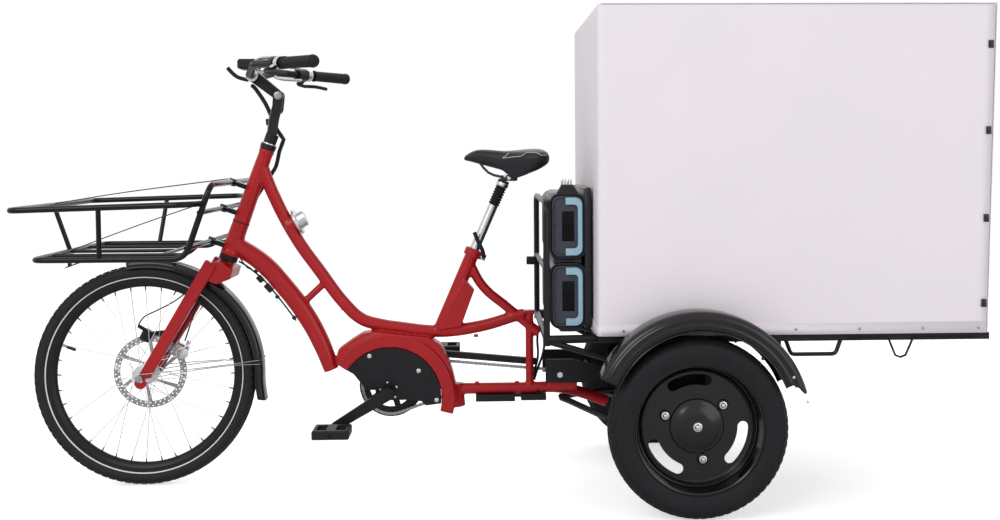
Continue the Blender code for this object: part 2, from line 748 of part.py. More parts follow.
def make_stem():
    base = steer(HEAD_END + HEAD_CUP + SEAT_GAP)
    pivot = Vector((STEM_PIVOT_X, 0, STEM_PIVOT_Z))
    collar = rod("collar", base, steer(HEAD_END + HEAD_CUP + 0.030), 0.0180, 20)
    neck_top = Vector((pivot.x - 0.003, 0, pivot.z - 0.026))
    neck_foot = steer(HEAD_END + HEAD_CUP + 0.020)
    neck = tube("neck", smooth_path([neck_foot, (0.3560, 0, 1.010), neck_top], 3), 0.0145, 2)
    cheek_t = 0.0060
    cheek_y = 0.0150
    pieces = [collar, neck]
    for side in (-1, 1):
        pieces.append(hulled_plate("cheek", (neck_top.x, neck_top.z - 0.012), 0.0130, (pivot.x, pivot.z),
                                   0.0140, side * cheek_y, cheek_t))
    pin_r = 0.0045
    pieces.append(rod("pin", (pivot.x, -cheek_y, pivot.z), (pivot.x, cheek_y, pivot.z), pin_r, 12))
    column = united("stem_column", pieces)
    tongue_w = 2 * (cheek_y - cheek_t / 2 - RUN_GAP)
    tongue = hulled_plate("tongue", (pivot.x, pivot.z), 0.0135, (BAR_X, BAR_Z), 0.0165, 0.0, tongue_w)
    clamp = rod("clamp", (BAR_X, -0.026, BAR_Z), (BAR_X, 0.026, BAR_Z), 0.0175, 20)
    arm = united("stem_arm", [tongue, clamp])
    pin_hole = rod("pin_hole", (pivot.x, -0.05, pivot.z), (pivot.x, 0.05, pivot.z), pin_r + RUN_GAP, 12)
    bar_hole = rod("bar_hole", (BAR_X, -0.05, BAR_Z), (BAR_X, 0.05, BAR_Z), BAR_R + SEAT_GAP, 20)
    arm = without(arm, pin_hole, bar_hole)
    return black_paint(column), black_paint(arm)


# Two round ends joined by straight sides, in the XZ plane
def hulled_plate(name, start, start_r, end, end_r, y, thickness, steps=6):
    angle = math.degrees(math.atan2(end[1] - start[1], end[0] - start[0]))
    outline = arc(end[0], end[1], end_r, angle - 90, angle + 90, steps)
    outline += arc(start[0], start[1], start_r, angle + 90, angle + 270, steps)
    return plate(name, [outline], y, thickness)


def make_bar():
    bar = tube("handlebar", rounded_path([
        grip_point(-1, 0), Vector((BAR_ELBOW.x, -BAR_ELBOW.y, BAR_ELBOW.z)), (BAR_X, -0.062, BAR_Z),
        (BAR_X, 0.062, BAR_Z), BAR_ELBOW, grip_point(1, 0),
    ], 0.045, 3), BAR_R, 2)
    pieces = []
    for side, word in ((-1, "left"), (1, "right")):
        clamp = rod("clamp", grip_point(side, 0.1400), grip_point(side, 0.1580), 0.0165, 14)
        perch = rod("perch", grip_point(side, 0.1490, 0.008, -0.006),
                    grip_point(side, 0.1490, 0.034, -0.020), 0.0075, 10)
        bar = united("handlebar", [bar, clamp, perch])
        grip = rod("grip_" + word, grip_point(side, -0.004), grip_point(side, GRIP_L), GRIP_R, 16,
                   GRIP_R * 0.94)
        core = rod("bar_core", grip_point(side, -SEAT_GAP), grip_point(side, GRIP_L + 0.02),
                   BAR_R + SEAT_GAP, 16)
        pieces.append(black_rubber(without(grip, core)))
        lever = tube("brake_lever_" + word, smooth_path([
            grip_point(side, 0.1490, 0.0425, -0.0245), grip_point(side, 0.120, 0.050, -0.028),
            grip_point(side, 0.080, 0.048, -0.027), grip_point(side, 0.030, 0.054, -0.031),
        ], 2), 0.0055, 2)
        pieces.append(black_plastic(lever))
    pod = rod("pod", grip_point(-1, 0.1620), grip_point(-1, 0.1800), 0.0180, 14)
    pieces.append(black_paint(united("handlebar", [bar, pod])))
    shifter = rod("twist_shifter", grip_point(1, 0.1600), grip_point(1, 0.1900), 0.0190, 18)
    core = rod("bar_core", grip_point(1, 0.15), grip_point(1, 0.20), BAR_R + RUN_GAP, 16)
    pieces.append(dark_metal(without(shifter, core)))
    screen = block("display", (0.052, 0.082, 0.026), (BAR_X - 0.012, 0, BAR_Z + 0.0175 + SEAT_GAP + 0.0130),
                   None, 0.004)
    pieces.append(black_plastic(screen))
    return pieces


def make_cables():
    behind, aside = -0.0300, 0.0220
    bars = tube("bar_cables", smooth_path([
        (0.2880, 0.0400, 1.1040), (0.3001, 0.0330, 1.0930), (0.3266, 0.0280, 1.0539),
        (0.3458, 0.0280, 1.0118), (0.3568, 0.0270, 0.9838), steer(0.372, behind, aside),
    ], 3) + [steer(CABLE_MEET + SEAT_GAP / 2, behind, aside)], 0.0060, 1)
    frame = tube("frame_cables", [steer(CABLE_MEET - SEAT_GAP / 2, behind, aside)] + smooth_path([
        steer(CABLE_MEET - 0.0170, behind, aside), (0.3584, 0.0290, 0.8857), (0.3499, 0.0310, 0.8661),
        (0.3183, 0.0340, 0.8186), (0.2818, 0.0360, 0.7599), (0.2560, 0.0400, 0.7039),
        (0.2620, 0.0405, 0.6720),
    ], 3), 0.0060, 1)
    wire = tube("wiring", smooth_path([
        (0.2560, 0, 0.6140), (0.2838, 0, 0.5965), (0.3186, 0, 0.5671), (0.3421, 0, 0.5416),
        (0.3842, 0, 0.4879), (0.4140, 0, 0.4470),
    ], 2), 0.0026, 1)
    turn = Matrix.Rotation(math.radians(47.6), 4, "Y")
    wire = united("wiring", [
        wire,
        block("plug", (0.020, 0.020, 0.0140), (0.3155, 0, 0.5643), turn, 0.002),
        block("socket", (0.026, 0.022, 0.0140), (0.3390, 0, 0.5388), turn, 0.002),
    ])
    return black_rubber(bars), black_rubber(frame), black_plastic(wire)


def make_dial():
    out = Vector((math.cos(DIAL_UP), 0, math.sin(DIAL_UP)))
    seat_face = Vector((DIAL_X, 0, DIAL_Z))
    base = rod("base", seat_face + out * SEAT_GAP, seat_face + out * 0.0080, 0.0380, 24, 0.0360)
    knob = rod("knob", seat_face + out * 0.0060, seat_face + out * 0.0290, 0.0240, 20, 0.0220)
    return bright_metal(united("lock_dial", [base, knob]))


# Seat

# The wire under the saddle on one side, with the ends carried on by the given length
def rail_path(side, extra):
    path = smooth_path([
        (0.9260, side * 0.010, 0.8840), (0.9500, side * 0.020, 0.8560), (0.9850, side * 0.022, 0.8440),
        (1.0300, side * 0.022, 0.8440), (1.0700, side * 0.030, 0.8600), (1.0900, side * 0.034, 0.8700),
    ], 2)
    path[0] = path[0] + (path[0] - path[1]).normalized() * extra
    path[-1] = path[-1] + (path[-1] - path[-2]).normalized() * extra
    return path


def make_seat():
    post = rod("seatpost", seat(-SEATPOST_IN), seat(SEATPOST_TOP), SEATPOST_R, 24)
    bore_floor = 0.0300
    post_bore = rod("post_bore", seat(bore_floor), seat(SEATPOST_TOP + 0.01), PLUNGER_R + RUN_GAP, 20)
    post = without(post, post_bore)
    collar = rod("seat_collar", seat(-0.0220), seat(-0.0020), SEAT_TUBE_R + 0.0055, 24)
    lug = block("lug", (0.018, 0.026, 0.016), seat(-0.0120, -0.0290), Matrix.Rotation(SEAT_LEAN, 4, "Y"))
    collar = united("seat_collar", [collar, lug])
    collar = without(collar, rod("tube_room", seat(-0.05), seat(0.02), SEAT_TUBE_R + SEAT_GAP, 24))
    lever = tube("seat_lever", smooth_path([
        seat(-0.0120, *LEVER_FOOT), seat(0.006, -0.0210, -0.0300), seat(0.026, 0.002, -0.0330),
        seat(0.044, 0.020, -0.0320),
    ], 3), 0.0060, 2)
    top = SEATPOST_TOP
    bellows_top = 0.1890
    ribs = 6
    pitch = (bellows_top - top - 2 * SEAT_GAP) / (2 * ribs)
    path = [seat(top + SEAT_GAP + pitch * i) for i in range(2 * ribs + 1)]
    sizes = [0.0140 if i % 2 == 0 else 0.0185 for i in range(2 * ribs + 1)]
    bellows = tube("seat_bellows", path, 0.0140, 3, radii=sizes)
    bellows = without(bellows, rod("core", seat(0.10), seat(0.22), PLUNGER_R + RUN_GAP, 16))
    plunger = rod("plunger", seat(0.0850), seat(0.2050), PLUNGER_R, 20)
    head = rod("head", seat(bellows_top), seat(0.2080), 0.0160, 20)
    clamp = block("clamp", (0.046, 0.050, 0.016), (1.0080, 0, 0.8400), None, 0.003)
    pieces = [plunger, head, clamp]
    for side in (-1, 1):
        pieces.append(tube("rail", rail_path(side, 0.0), RAIL_WIRE_R, 1))
    head = united("suspension_head", pieces)
    bright_metal(post)
    black_paint(collar)
    black_plastic(lever)
    black_rubber(bellows)
    return post, collar, lever, bellows, dark_metal(head), make_saddle()


def make_saddle():
    around = 16
    bm = bmesh.new()
    loops = []
    for x, half, low, high in SADDLE_SECTIONS:
        loop = []
        middle = (low + high) / 2
        for step in range(around):
            angle = 2 * math.pi * step / around
            c, s = math.cos(angle), math.sin(angle)
            y = half * math.copysign(abs(c) ** 0.75, c)
            crown = 1.0 if s < 0 else 1.0 - 0.12 * abs(c)
            z = middle + (high - low) / 2 * math.copysign(abs(s) ** 0.7, s) * crown
            inner = 0.80 if s < -0.35 else 1.0
            loop.append(bm.verts.new((x, y * inner, z)))
        loops.append(loop)
    for a, b in zip(loops, loops[1:]):
        for i in range(around):
            j = (i + 1) % around
            bm.faces.new((a[i], a[j], b[j], b[i]))
    bm.faces.new(loops[0])
    bm.faces.new(list(reversed(loops[-1])))
    bmesh.ops.recalc_face_normals(bm, faces=bm.faces)
    saddle = new_object("saddle", bm)
    for side in (-1, 1):
        saddle = without(saddle, tube("rail_room", rail_path(side, 0.0020), RAIL_WIRE_R + 2 * SEAT_GAP, 1))
    return paint(saddle, "saddle_cover", (0.022, 0.022, 0.025), 0.6)


# Drive

def make_motor():
    cover_y = WEB_Y - SEAT_GAP - COVER_T / 2
    outline = arc(MOTOR_X, MOTOR_Z, COVER_R, -5, 131, 22)
    outline += [
        (0.6007, 0.3179), (0.6316, 0.2780), (0.6400, 0.2330), (0.6856, 0.2300), (0.7250, 0.2310),
        (0.7627, 0.2262), (0.7740, 0.2145),
    ]
    axle_room = circle(CRANK_X, CRANK_Z, CRANK_AXLE_R + 2 * RUN_GAP, 20)
    cover = plate("motor_cover", [outline, axle_room], cover_y, COVER_T)
    for x, z in ((0.620, 0.353), (0.755, 0.311), (0.804, 0.2300)):
        head = rod("head", (x, cover_y, z), (x, cover_y - COVER_T / 2 - 0.003, z), 0.0055, 10)
        cover = united("motor_cover", [cover, head])
    start_y = WEB_Y + WEB_T + SEAT_GAP
    end_y = 0.0400
    motor = hulled_plate("motor", (CRANK_X, 0.2700), 0.0400, (0.7350, 0.2880), 0.0550,
                         (start_y + end_y) / 2, end_y - start_y, 10)
    room = rod("axle_room", (CRANK_X, -0.1, CRANK_Z), (CRANK_X, 0.1, CRANK_Z), CRANK_AXLE_R + RUN_GAP, 20)
    return black_paint(cover), dark_metal(without(motor, room))


def crank_end(side, reach):
    return (
        CRANK_X + side * reach * math.cos(CRANK_DROP),
        CRANK_Z + side * reach * math.sin(CRANK_DROP),
    )


def make_crank():
    pieces = [rod("axle", (CRANK_X, -CRANK_ARM_Y, CRANK_Z), (CRANK_X, CRANK_ARM_Y, CRANK_Z),
                  CRANK_AXLE_R, 20)]
    for side in (-1, 1):
        eye = crank_end(side, CRANK_LENGTH)
        pieces.append(hulled_plate("arm", eye, 0.0120, (CRANK_X, CRANK_Z), 0.0170,
                                   side * CRANK_ARM_Y, CRANK_ARM_W))
        pieces.append(rod("spindle", (eye[0], side * CRANK_ARM_Y, eye[1]),
                          (eye[0], side * (PEDAL_Y + PEDAL_W / 2 - 0.004), eye[1]), PEDAL_PIN_R, 10))
    ring_r = CHAIN_PITCH / (2 * math.sin(math.pi / CHAINRING_TEETH)) - CHAIN_H / 2 - RUN_GAP
    outlines = [circle(CRANK_X, CRANK_Z, ring_r, 32)]
    for start in range(0, 360, 72):
        near = arc(CRANK_X, CRANK_Z, 0.0240, start + 20, start + 52, 2)
        far = arc(CRANK_X, CRANK_Z, ring_r - 0.0150, start + 64, start + 8, 4)
        outlines.append(near + far)
    pieces.append(plate("chainring", outlines, CHAIN_Y, 0.0030))
    guard_y = CHAIN_Y + CHAIN_W / 2 + 0.0035
    guard = [circle(CRANK_X, CRANK_Z, 0.0900, 32), circle(CRANK_X, CRANK_Z, 0.0640, 20)]
    pieces.append(plate("guard", guard, guard_y, 0.0030))
    for start in range(0, 360, 72):
        angle = math.radians(start)
        x = CRANK_X + (ring_r - 0.0075) * math.cos(angle)
        z = CRANK_Z + (ring_r - 0.0075) * math.sin(angle)
        pieces.append(rod("spacer", (x, CHAIN_Y, z), (x, guard_y, z), 0.0040, 6))
    pieces = [black_paint(united("crankset", pieces))]
    for side, word in ((-1, "left"), (1, "right")):
        eye = crank_end(side, CRANK_LENGTH)
        centre = (eye[0], side * PEDAL_Y, eye[1])
        body = block("pedal_" + word, (0.098, PEDAL_W, 0.024), centre, None, 0.003)
        hole = rod("hole", (eye[0], 0, eye[1]), (eye[0], side * 0.3, eye[1]), PEDAL_PIN_R + RUN_GAP, 12)
        body = without(body, hole)
        for dx in (-0.026, 0.026):
            window = block("window", (0.026, PEDAL_W - 0.030, 0.1), (eye[0] + dx, side * PEDAL_Y, eye[1]))
            body = without(body, window)
        pieces.append(black_plastic(body))
    return pieces


# Where a straight run through the point leaves the circle, on the side with the given sign
def tangent_deg(centre, radius, point, sign):
    dx, dz = point[0] - centre[0], point[1] - centre[1]
    return math.degrees(math.atan2(dz, dx) + sign * math.acos(radius / math.hypot(dx, dz)))


def offset_loop(points, amount):
    moved = []
    for before, here, after in zip(points[-1:] + points[:-1], points, points[1:] + points[:1]):
        into = Vector((here[0] - before[0], here[1] - before[1])).normalized()
        out = Vector((after[0] - here[0], after[1] - here[1])).normalized()
        normal = Vector((into.y + out.y, -into.x - out.x)).normalized()
        reach = amount / max(0.5, normal.dot(Vector((into.y, -into.x))))
        moved.append((here[0] + normal.x * reach, here[1] + normal.y * reach))
    return moved


def make_chain():
    big = CHAIN_PITCH / (2 * math.sin(math.pi / CHAINRING_TEETH))
    small = CHAIN_PITCH / (2 * math.sin(math.pi / SPROCKET_TEETH))
    front = (CRANK_X, CRANK_Z)
    back = (REAR_AXLE_X, REAR_TYRE_R)
    span = math.hypot(back[0] - front[0], back[1] - front[1])
    slope = math.atan2(back[1] - front[1], back[0] - front[0])
    top = math.degrees(slope + math.acos((big - small) / span))
    guide_front, guide_back = (0.905, CHAIN_LOW_Z), (1.105, CHAIN_LOW_Z)
    leave = tangent_deg(front, big, guide_front, -1) + 360
    arrive = tangent_deg(back, small, guide_back, 1)
    loop = arc(*front, big, top, leave, 24) + [guide_front, guide_back]
    loop += arc(*back, small, arrive, top + 360, 12)
    outlines = [offset_loop(loop, CHAIN_H / 2), offset_loop(loop, -CHAIN_H / 2)]
    chain = dark_metal(plate("chain", outlines, CHAIN_Y, CHAIN_W))
    run = math.radians(top - 90)
    guard_start = Vector((0.822, CHAIN_Y, 0.3370))
    guard_end = guard_start + Vector((math.cos(run), 0, math.sin(run))) * 0.262
    middle = (guard_start + guard_end) / 2
    bar = block("chain_bar", ((guard_end - guard_start).length, 0.016, 0.018),
                middle + Vector((0, 0, 0.0060)), Matrix.Rotation(-run, 4, "Y"))
    tab_start = 0.0110 + SEAT_GAP
    tab = block("tab", (0.014, CHAIN_Y - tab_start, 0.012), (1.0630, (CHAIN_Y + tab_start) / 2, 0.3220))
    bar = black_plastic(united("chain_bar", [bar, tab]))
    low = LOWER_TUBE_Z - REAR_TUBE_R - SEAT_GAP
    blocks = [
        block("guide", (0.109, 0.080, low - 0.219), (0.9665, 0.020, (low + 0.219) / 2)),
        block("neck", (0.030, 0.050, 0.008), (1.030, 0.020, low - 0.006)),
        block("guide_rear", (0.070, 0.080, low - 0.221), (1.073, 0.020, (low + 0.221) / 2)),
    ]
    for x, length in ((0.9665, 0.100), (1.073, 0.062)):
        height = CHAIN_LOW_Z - CHAIN_H / 2 - RUN_GAP - 0.232
        blocks.append(block("slider", (length, 0.018, height), (x, CHAIN_Y, 0.232 + height / 2)))
    return chain, bar, black_plastic(united("chain_guide", blocks))


def make_sprocket():
    small = CHAIN_PITCH / (2 * math.sin(math.pi / SPROCKET_TEETH)) - CHAIN_H / 2 - RUN_GAP
    bore = REAR_AXLE_R + RUN_GAP
    body = ring("sprocket", [
        (bore, -0.030), (0.024, -0.030), (0.028, -0.024), (0.028, 0.0380), (0.022, 0.0480), (small, 0.0480),
        (small, 0.0520), (bore, 0.0520),
    ], (REAR_AXLE_X, 0, REAR_TYRE_R), 20)
    return bright_steel(body)


# Rear wheels

def make_rear_wheel(side, word):
    centre = (REAR_AXLE_X, side * REAR_WHEEL_Y, REAR_TYRE_R)
    w = REAR_TYRE_W / 2
    inner = REAR_RIM_R + SEAT_GAP
    tyre = ring("rear_tyre_" + word, [
        (REAR_TYRE_R, 0.35 * w), (REAR_TYRE_R, -0.35 * w), (REAR_TYRE_R - 0.009, -0.80 * w),
        (REAR_TYRE_R - 0.028, -w), (inner, -0.84 * w), (inner, 0.84 * w), (REAR_TYRE_R - 0.028, w),
        (REAR_TYRE_R - 0.009, 0.80 * w),
    ], centre, REAR_STEPS)
    half = REAR_RIM_W / 2
    face = half - 0.050
    sheet = 0.0040
    r = REAR_RIM_R
    profile = [
        (r, half), (r, -half), (r - sheet, -half), (r - 0.012, face - sheet), (HUB_BOSS_R, face - sheet),
        (HUB_BOSS_R, face), (r - 0.016, face), (r - sheet - 0.001, half - 0.004),
    ]
    wheel = ring("rear_wheel_" + word, [(pr, side * pa) for pr, pa in profile], centre, REAR_STEPS)
    for middle in (223, 338, 99):
        slot = arc(centre[0], centre[2], 0.101, middle - 27, middle + 27, 3)
        slot += arc(centre[0], centre[2], 0.129, middle + 27, middle - 27, 3)
        wheel = without(wheel, plate("slot", [slot], centre[1], 0.12))
    plane = centre[1] + side * face

    def at(across, x=centre[0], z=centre[2]):
        return (x, plane + side * across, z)

    pieces = [
        wheel,
        rod("shaft", (centre[0], side * 0.0030, centre[2]), at(0.012), REAR_AXLE_R, 16),
        rod("drum", at(-0.003), at(-0.020), 0.0940, 16, 0.0800),
        rod("cap", at(-0.008), at(0.016), HUB_BOSS_R + 0.002, 14, 0.0200),
    ]
    for deg in (161, 38, -80):
        x = centre[0] + BOLT_CIRCLE_R * math.cos(math.radians(deg))
        z = centre[2] + BOLT_CIRCLE_R * math.sin(math.radians(deg))
        pieces.append(rod("bolt", at(-0.006, x, z), at(0.007, x, z), 0.0090, 6))
    return tyre_rubber(tyre), black_paint(united("rear_wheel_" + word, pieces))


def make_rear_fender(side, word):
    half = 0.0460
    y = side * (BOX_WIDTH / 2 + 0.0035 + half)
    cx, cz, radius = REAR_AXLE_X + 0.0034, REAR_TYRE_R + 0.0206, REAR_TYRE_R + 0.0455
    skin = fender("rear_fender_" + word, (cx, y, cz), radius, half, 0.047, 15, 141, 16)
    inner = RAIL_Y + RAIL_W / 2 + SEAT_GAP
    reach = BOX_WIDTH / 2 + 0.0060 - inner
    for x in (1.3020, 1.6400):
        arm = block("arm", (0.050, reach, 0.011), (x, side * (inner + reach / 2), 0.4360))
        skin = united("rear_fender_" + word, [skin, arm])
    return black_paint(skin)


# Cargo frame and box

def make_cargo_frame():
    rail_z = BOX_BOTTOM_Z - 0.0020 - RAIL_H / 2
    start = BOX_FRONT_X + 0.0035
    end = BOX_FRONT_X + BOX_LENGTH + 0.0100
    pieces = []
    for side in (-1, 1):
        pieces.append(block("rail", (end - start, RAIL_W, RAIL_H),
                            ((start + end) / 2, side * RAIL_Y, rail_z)))
    for x in (start + 0.014, 1.500, 1.850, end - 0.014):
        cross_size = (0.024, 2 * RAIL_Y + RAIL_W * 0.9, RAIL_H * CROSS_SHARE)
        pieces.append(block("cross", cross_size, (x, 0, rail_z)))
    portal = [
        (PORTAL_X, -PORTAL_Y, 0.4110), (PORTAL_X, -PORTAL_Y, PORTAL_TOP_Z),
        (PORTAL_X, PORTAL_Y, PORTAL_TOP_Z), (PORTAL_X, PORTAL_Y, 0.4110),
    ]
    pieces.append(tube("portal", rounded_path(portal, 0.030, 3), RACK_TUBE_R, 2))
    pieces.append(rod("rack_bar", (PORTAL_X, -PORTAL_Y, 0.6050), (PORTAL_X, PORTAL_Y, 0.6050), 0.0070, 8))
    pieces.append(rod("low_bar", (PORTAL_X, -PORTAL_Y, 0.4270), (PORTAL_X, PORTAL_Y, 0.4270), 0.0095, 8))
    bore = REAR_AXLE_R + RUN_GAP
    z = REAR_TYRE_R
    for side in (-1, 1):
        y = side * PORTAL_Y
        pieces.append(rod("arm", (PORTAL_X, y, 0.4270), (start + 0.020, y, 0.4290), 0.0110, 8))
        pieces.append(rod("brace", (PORTAL_X, y, 0.4230), (1.4400, y, 0.3220), 0.0080, 8))
        pieces.append(plate("carrier", [[
            (1.405, 0.330), (1.425, 0.195), (1.503, 0.195), (1.512, 0.440), (1.486, 0.440), (1.430, 0.345),
        ]], y, 0.0120))
        pieces.append(rod("boss", (REAR_AXLE_X, side * (PORTAL_Y - 0.012), z),
                          (REAR_AXLE_X, side * (PORTAL_Y + 0.030), z), 0.0260, 14))
        pieces.append(plate("axle_plate", [[
            (1.103, 0.282), (1.263, 0.282), (1.420, 0.195), (1.505, 0.195), (1.512, 0.372), (1.430, 0.372),
            (1.263, 0.322), (1.180, 0.346), (1.103, 0.346),
        ]], side * AXLE_PLATE_Y, AXLE_PLATE_T))
        pieces.append(tube("under_arm", [
            (1.150, side * 0.010, 0.2260), (1.172, side * 0.040, 0.2220), (1.261, side * 0.190, 0.2050),
            (1.440, side * 0.268, 0.2040),
        ], 0.0085, 1))
    pieces.append(rod("cross_tube", (1.4680, -PORTAL_Y, 0.3560), (1.4680, PORTAL_Y, 0.3560), 0.0120, 10))
    pieces.append(rod("plate_bar", (1.2250, -AXLE_PLATE_Y, 0.3120), (1.2250, AXLE_PLATE_Y, 0.3120),
                      0.0090, 8))
    for side in (-1, 1):
        pieces.append(tube("bumper", rounded_path([
            (1.700, side * RAIL_Y, rail_z), (1.716, side * RAIL_Y, 0.3930), (1.830, side * RAIL_Y, 0.3930),
            (1.846, side * RAIL_Y, rail_z),
        ], 0.012, 2), 0.0055, 1))
        pieces.append(block("tab", (0.050, 0.006, 0.046), (1.665, side * RAIL_Y, 0.411)))
    frame = united("cargo_frame", pieces)
    frame = without(frame, rod("axle_bore", (REAR_AXLE_X, -0.4, z), (REAR_AXLE_X, 0.4, z), bore, 16))
    clip_y = -(RAIL_Y + RAIL_W / 2 + SEAT_GAP + 0.0032)
    cable = tube("rail_cable", smooth_path([
        (1.860, clip_y, 0.4330), (1.900, clip_y, 0.4330), (1.940, clip_y, 0.4330), (1.964, clip_y, 0.4300),
        (1.980, clip_y, 0.3900), (2.006, clip_y, 0.3900), (2.024, clip_y, 0.4300), (2.048, clip_y, 0.4330),
        (2.120, clip_y, 0.4330), (2.190, clip_y, 0.4330),
    ], 2), 0.0030, 1)
    return black_paint(frame), black_rubber(cable)


def make_deck():
    low = BOX_BOTTOM_Z - 0.0020 - RAIL_H * (1 - CROSS_SHARE) / 2 + SEAT_GAP
    inner_x = BOX_FRONT_X + CLOTH_T + 0.0080
    length = BOX_LENGTH - CLOTH_T - 0.0160
    width = 2 * (RAIL_Y - RAIL_W / 2 - BOW_IN - RUN_GAP)
    deck = block("deck_panel", (length, width, DECK_T),
                 (inner_x + length / 2, 0, low + DECK_T / 2), None, 0.001)
    return dark_metal(deck)


def make_box_frame():
    foot = BOX_BOTTOM_Z - 0.0020 + SEAT_GAP
    top = BOX_TOP_Z - CLOTH_T - BOX_TUBE_R - 0.0040
    y = BOX_WIDTH / 2 - CLOTH_T - BOX_TUBE_R - 0.0040
    foot_y = RAIL_Y - RAIL_W / 2 + BOX_TUBE_R - BOW_IN
    front = BOX_FRONT_X + CLOTH_T + BOX_TUBE_R + 0.0080
    rear = BOX_FRONT_X + BOX_LENGTH - BOX_TUBE_R - 0.0180
    pieces = []
    for x, lean in ((front, 0.0), ((front + rear) / 2, 0.0), (rear, BOX_LEAN - 0.0060)):
        pieces.append(tube("bow", rounded_path([
            (x, -foot_y, foot), (x + lean, -y, top), (x + lean, y, top), (x, foot_y, foot),
        ], 0.035, 2), BOX_TUBE_R, 1))
    for side in (-1, 1):
        high_y = side * (y - 0.002)
        low_y = side * (foot_y + 0.001)
        pieces.append(rod("side_rail", (front, high_y, top - 0.045),
                          (rear + BOX_LEAN - 0.007, high_y, top - 0.045), BOX_TUBE_R * 0.9, 6))
        pieces.append(rod("low_rail", (front, low_y, 0.5200), (rear, low_y, 0.5200), BOX_TUBE_R * 0.9, 6))
    return dark_metal(united("box_frame", pieces))


def make_tarpaulin():
    half = BOX_WIDTH / 2
    low, high = BOX_BOTTOM_Z, BOX_TOP_Z
    corner = 0.022

    def section(x, shrink):
        w = half - shrink
        t = high - shrink
        loop = [(x, -w, low)]
        for i in range(1, 6):
            z = low + (t - corner - low) * i / 5
            loop.append((x, -w, z))
        for i in range(1, 4):
            a = math.pi / 2 * i / 4
            loop.append((x, -w + corner * (1 - math.cos(a)), t - corner + corner * math.sin(a)))
        for i in range(5):
            loop.append((x, (-w + corner) * (1 - i / 2), t))
        for i in range(3, 0, -1):
            a = math.pi / 2 * i / 4
            loop.append((x, w - corner * (1 - math.cos(a)), t - corner + corner * math.sin(a)))
        for i in range(5, 0, -1):
            loop.append((x, w, low + (t - corner - low) * i / 5))
        loop.append((x, w, low))
        return loop

    rear = BOX_FRONT_X + BOX_LENGTH - CLOTH_T - RUN_GAP
    stations = [(BOX_FRONT_X, 0.0100), (BOX_FRONT_X + 0.003, 0.0040), (BOX_FRONT_X + 0.010, 0.0)]
    stations += [(BOX_FRONT_X + 0.010 + (rear - BOX_FRONT_X - 0.010) * i / 6, 0.0) for i in range(1, 7)]
    bm = bmesh.new()
    rows = []
    for index, (x, shrink) in enumerate(stations):
        row = []
        for px, py, pz in section(x, shrink):
            along = (px - BOX_FRONT_X) / BOX_LENGTH
            lean = BOX_LEAN * (pz - low) / (high - low) * max(0.0, along) ** 6
            up = (pz - low) / (high - low)
            slack = 0.0025 * math.sin(math.pi * up) * math.sin(math.pi * 3 * along) ** 2
            if index < 3 or abs(py) < half - 0.001:
                slack = 0.0
            row.append(bm.verts.new((px + lean, py - math.copysign(slack, py), pz)))
        rows.append(row)
    for a, b in zip(rows, rows[1:]):
        for i in range(len(a) - 1):
            bm.faces.new((a[i], a[i + 1], b[i + 1], b[i]))
    bm.faces.new(rows[0])
    bmesh.ops.recalc_face_normals(bm, faces=bm.faces)
    cloth = new_object("tarpaulin", bm)
    skin = cloth.modifiers.new("skin", "SOLIDIFY")
    skin.thickness = CLOTH_T
    skin.offset = -1.0
    cloth = baked(cloth)
    set_faces_outward(cloth)
    flap_x = BOX_FRONT_X + BOX_LENGTH - CLOTH_T
    flap_low = low + 0.0020
    flap_high = high - 0.0010
    bm = bmesh.new()
    rows = []
    for i in range(7):
        up = i / 6
        row = []
        for j in range(7):
            y = (half - 0.0010) * (j / 3 - 1)
            puff = 0.0
            if 0 < i < 6 and 0 < j < 6:
                puff = -0.0012 * (1 + (-1) ** (i + j))
            z = flap_low + (flap_high - flap_low) * up
            row.append(bm.verts.new((flap_x + CLOTH_T + BOX_LEAN * up + puff, y, z)))
        rows.append(row)
    for a, b in zip(rows, rows[1:]):
        for i in range(6):
            bm.faces.new((a[i], a[i + 1], b[i + 1], b[i]))
    flap = new_object("rear_flap", bm)
    skin = flap.modifiers.new("skin", "SOLIDIFY")
    skin.thickness = CLOTH_T - RUN_GAP
    skin.offset = -1.0
    flap = baked(flap)
    set_faces_outward(flap)
    return pale_cloth(cloth), pale_cloth(flap)


# Batteries and dock

def rounded_rect(x, z, width, height, radius, steps=4):
    w, h = width / 2 - radius, height / 2 - radius
    outline = []
    for cx, cz, start in ((w, h, 0), (-w, h, 90), (-w, -h, 180), (w, -h, 270)):
        outline += arc(x + cx, z + cz, radius, start, start + 90, steps)
    return outline


def make_battery(word, z):
    y = BATTERY_END_Y + BATTERY_L / 2
    outline = rounded_rect(BATTERY_X, z, BATTERY_W, BATTERY_H, 0.020)
    case = plate("battery_" + word, [outline], y, BATTERY_L)
    window = block("window", (0.032, 0.004, 0.078), (BATTERY_X + 0.0010, BATTERY_END_Y, z))
    case = grey_case(without(case, window))
    t = 0.0110
    right = BATTERY_X + BATTERY_W / 2 - 0.0040
    left = BATTERY_X - 0.0060
    high = z + BATTERY_H / 2 - 0.0040
    low = z - BATTERY_H / 2 + 0.0040
    outline = [(left, high), (left, high - 0.018)]
    outline += arc(right - t - 0.010, high - 0.018 - 0.010, 0.010, 90, 0, 3)
    outline += arc(right - t - 0.010, low + 0.018 + 0.010, 0.010, 0, -90, 3)
    outline += [(left, low + 0.018), (left, low)]
    outline += arc(right - 0.018, low + 0.018, 0.018, -90, 0, 4)
    outline += arc(right - 0.018, high - 0.018, 0.018, 0, 90, 4)
    handle = plate("battery_handle_" + word, [outline], BATTERY_END_Y - SEAT_GAP - 0.0055, 0.0110)
    return case, paint(handle, "turquoise_plastic", (0.235, 0.503, 0.578), 0.4)


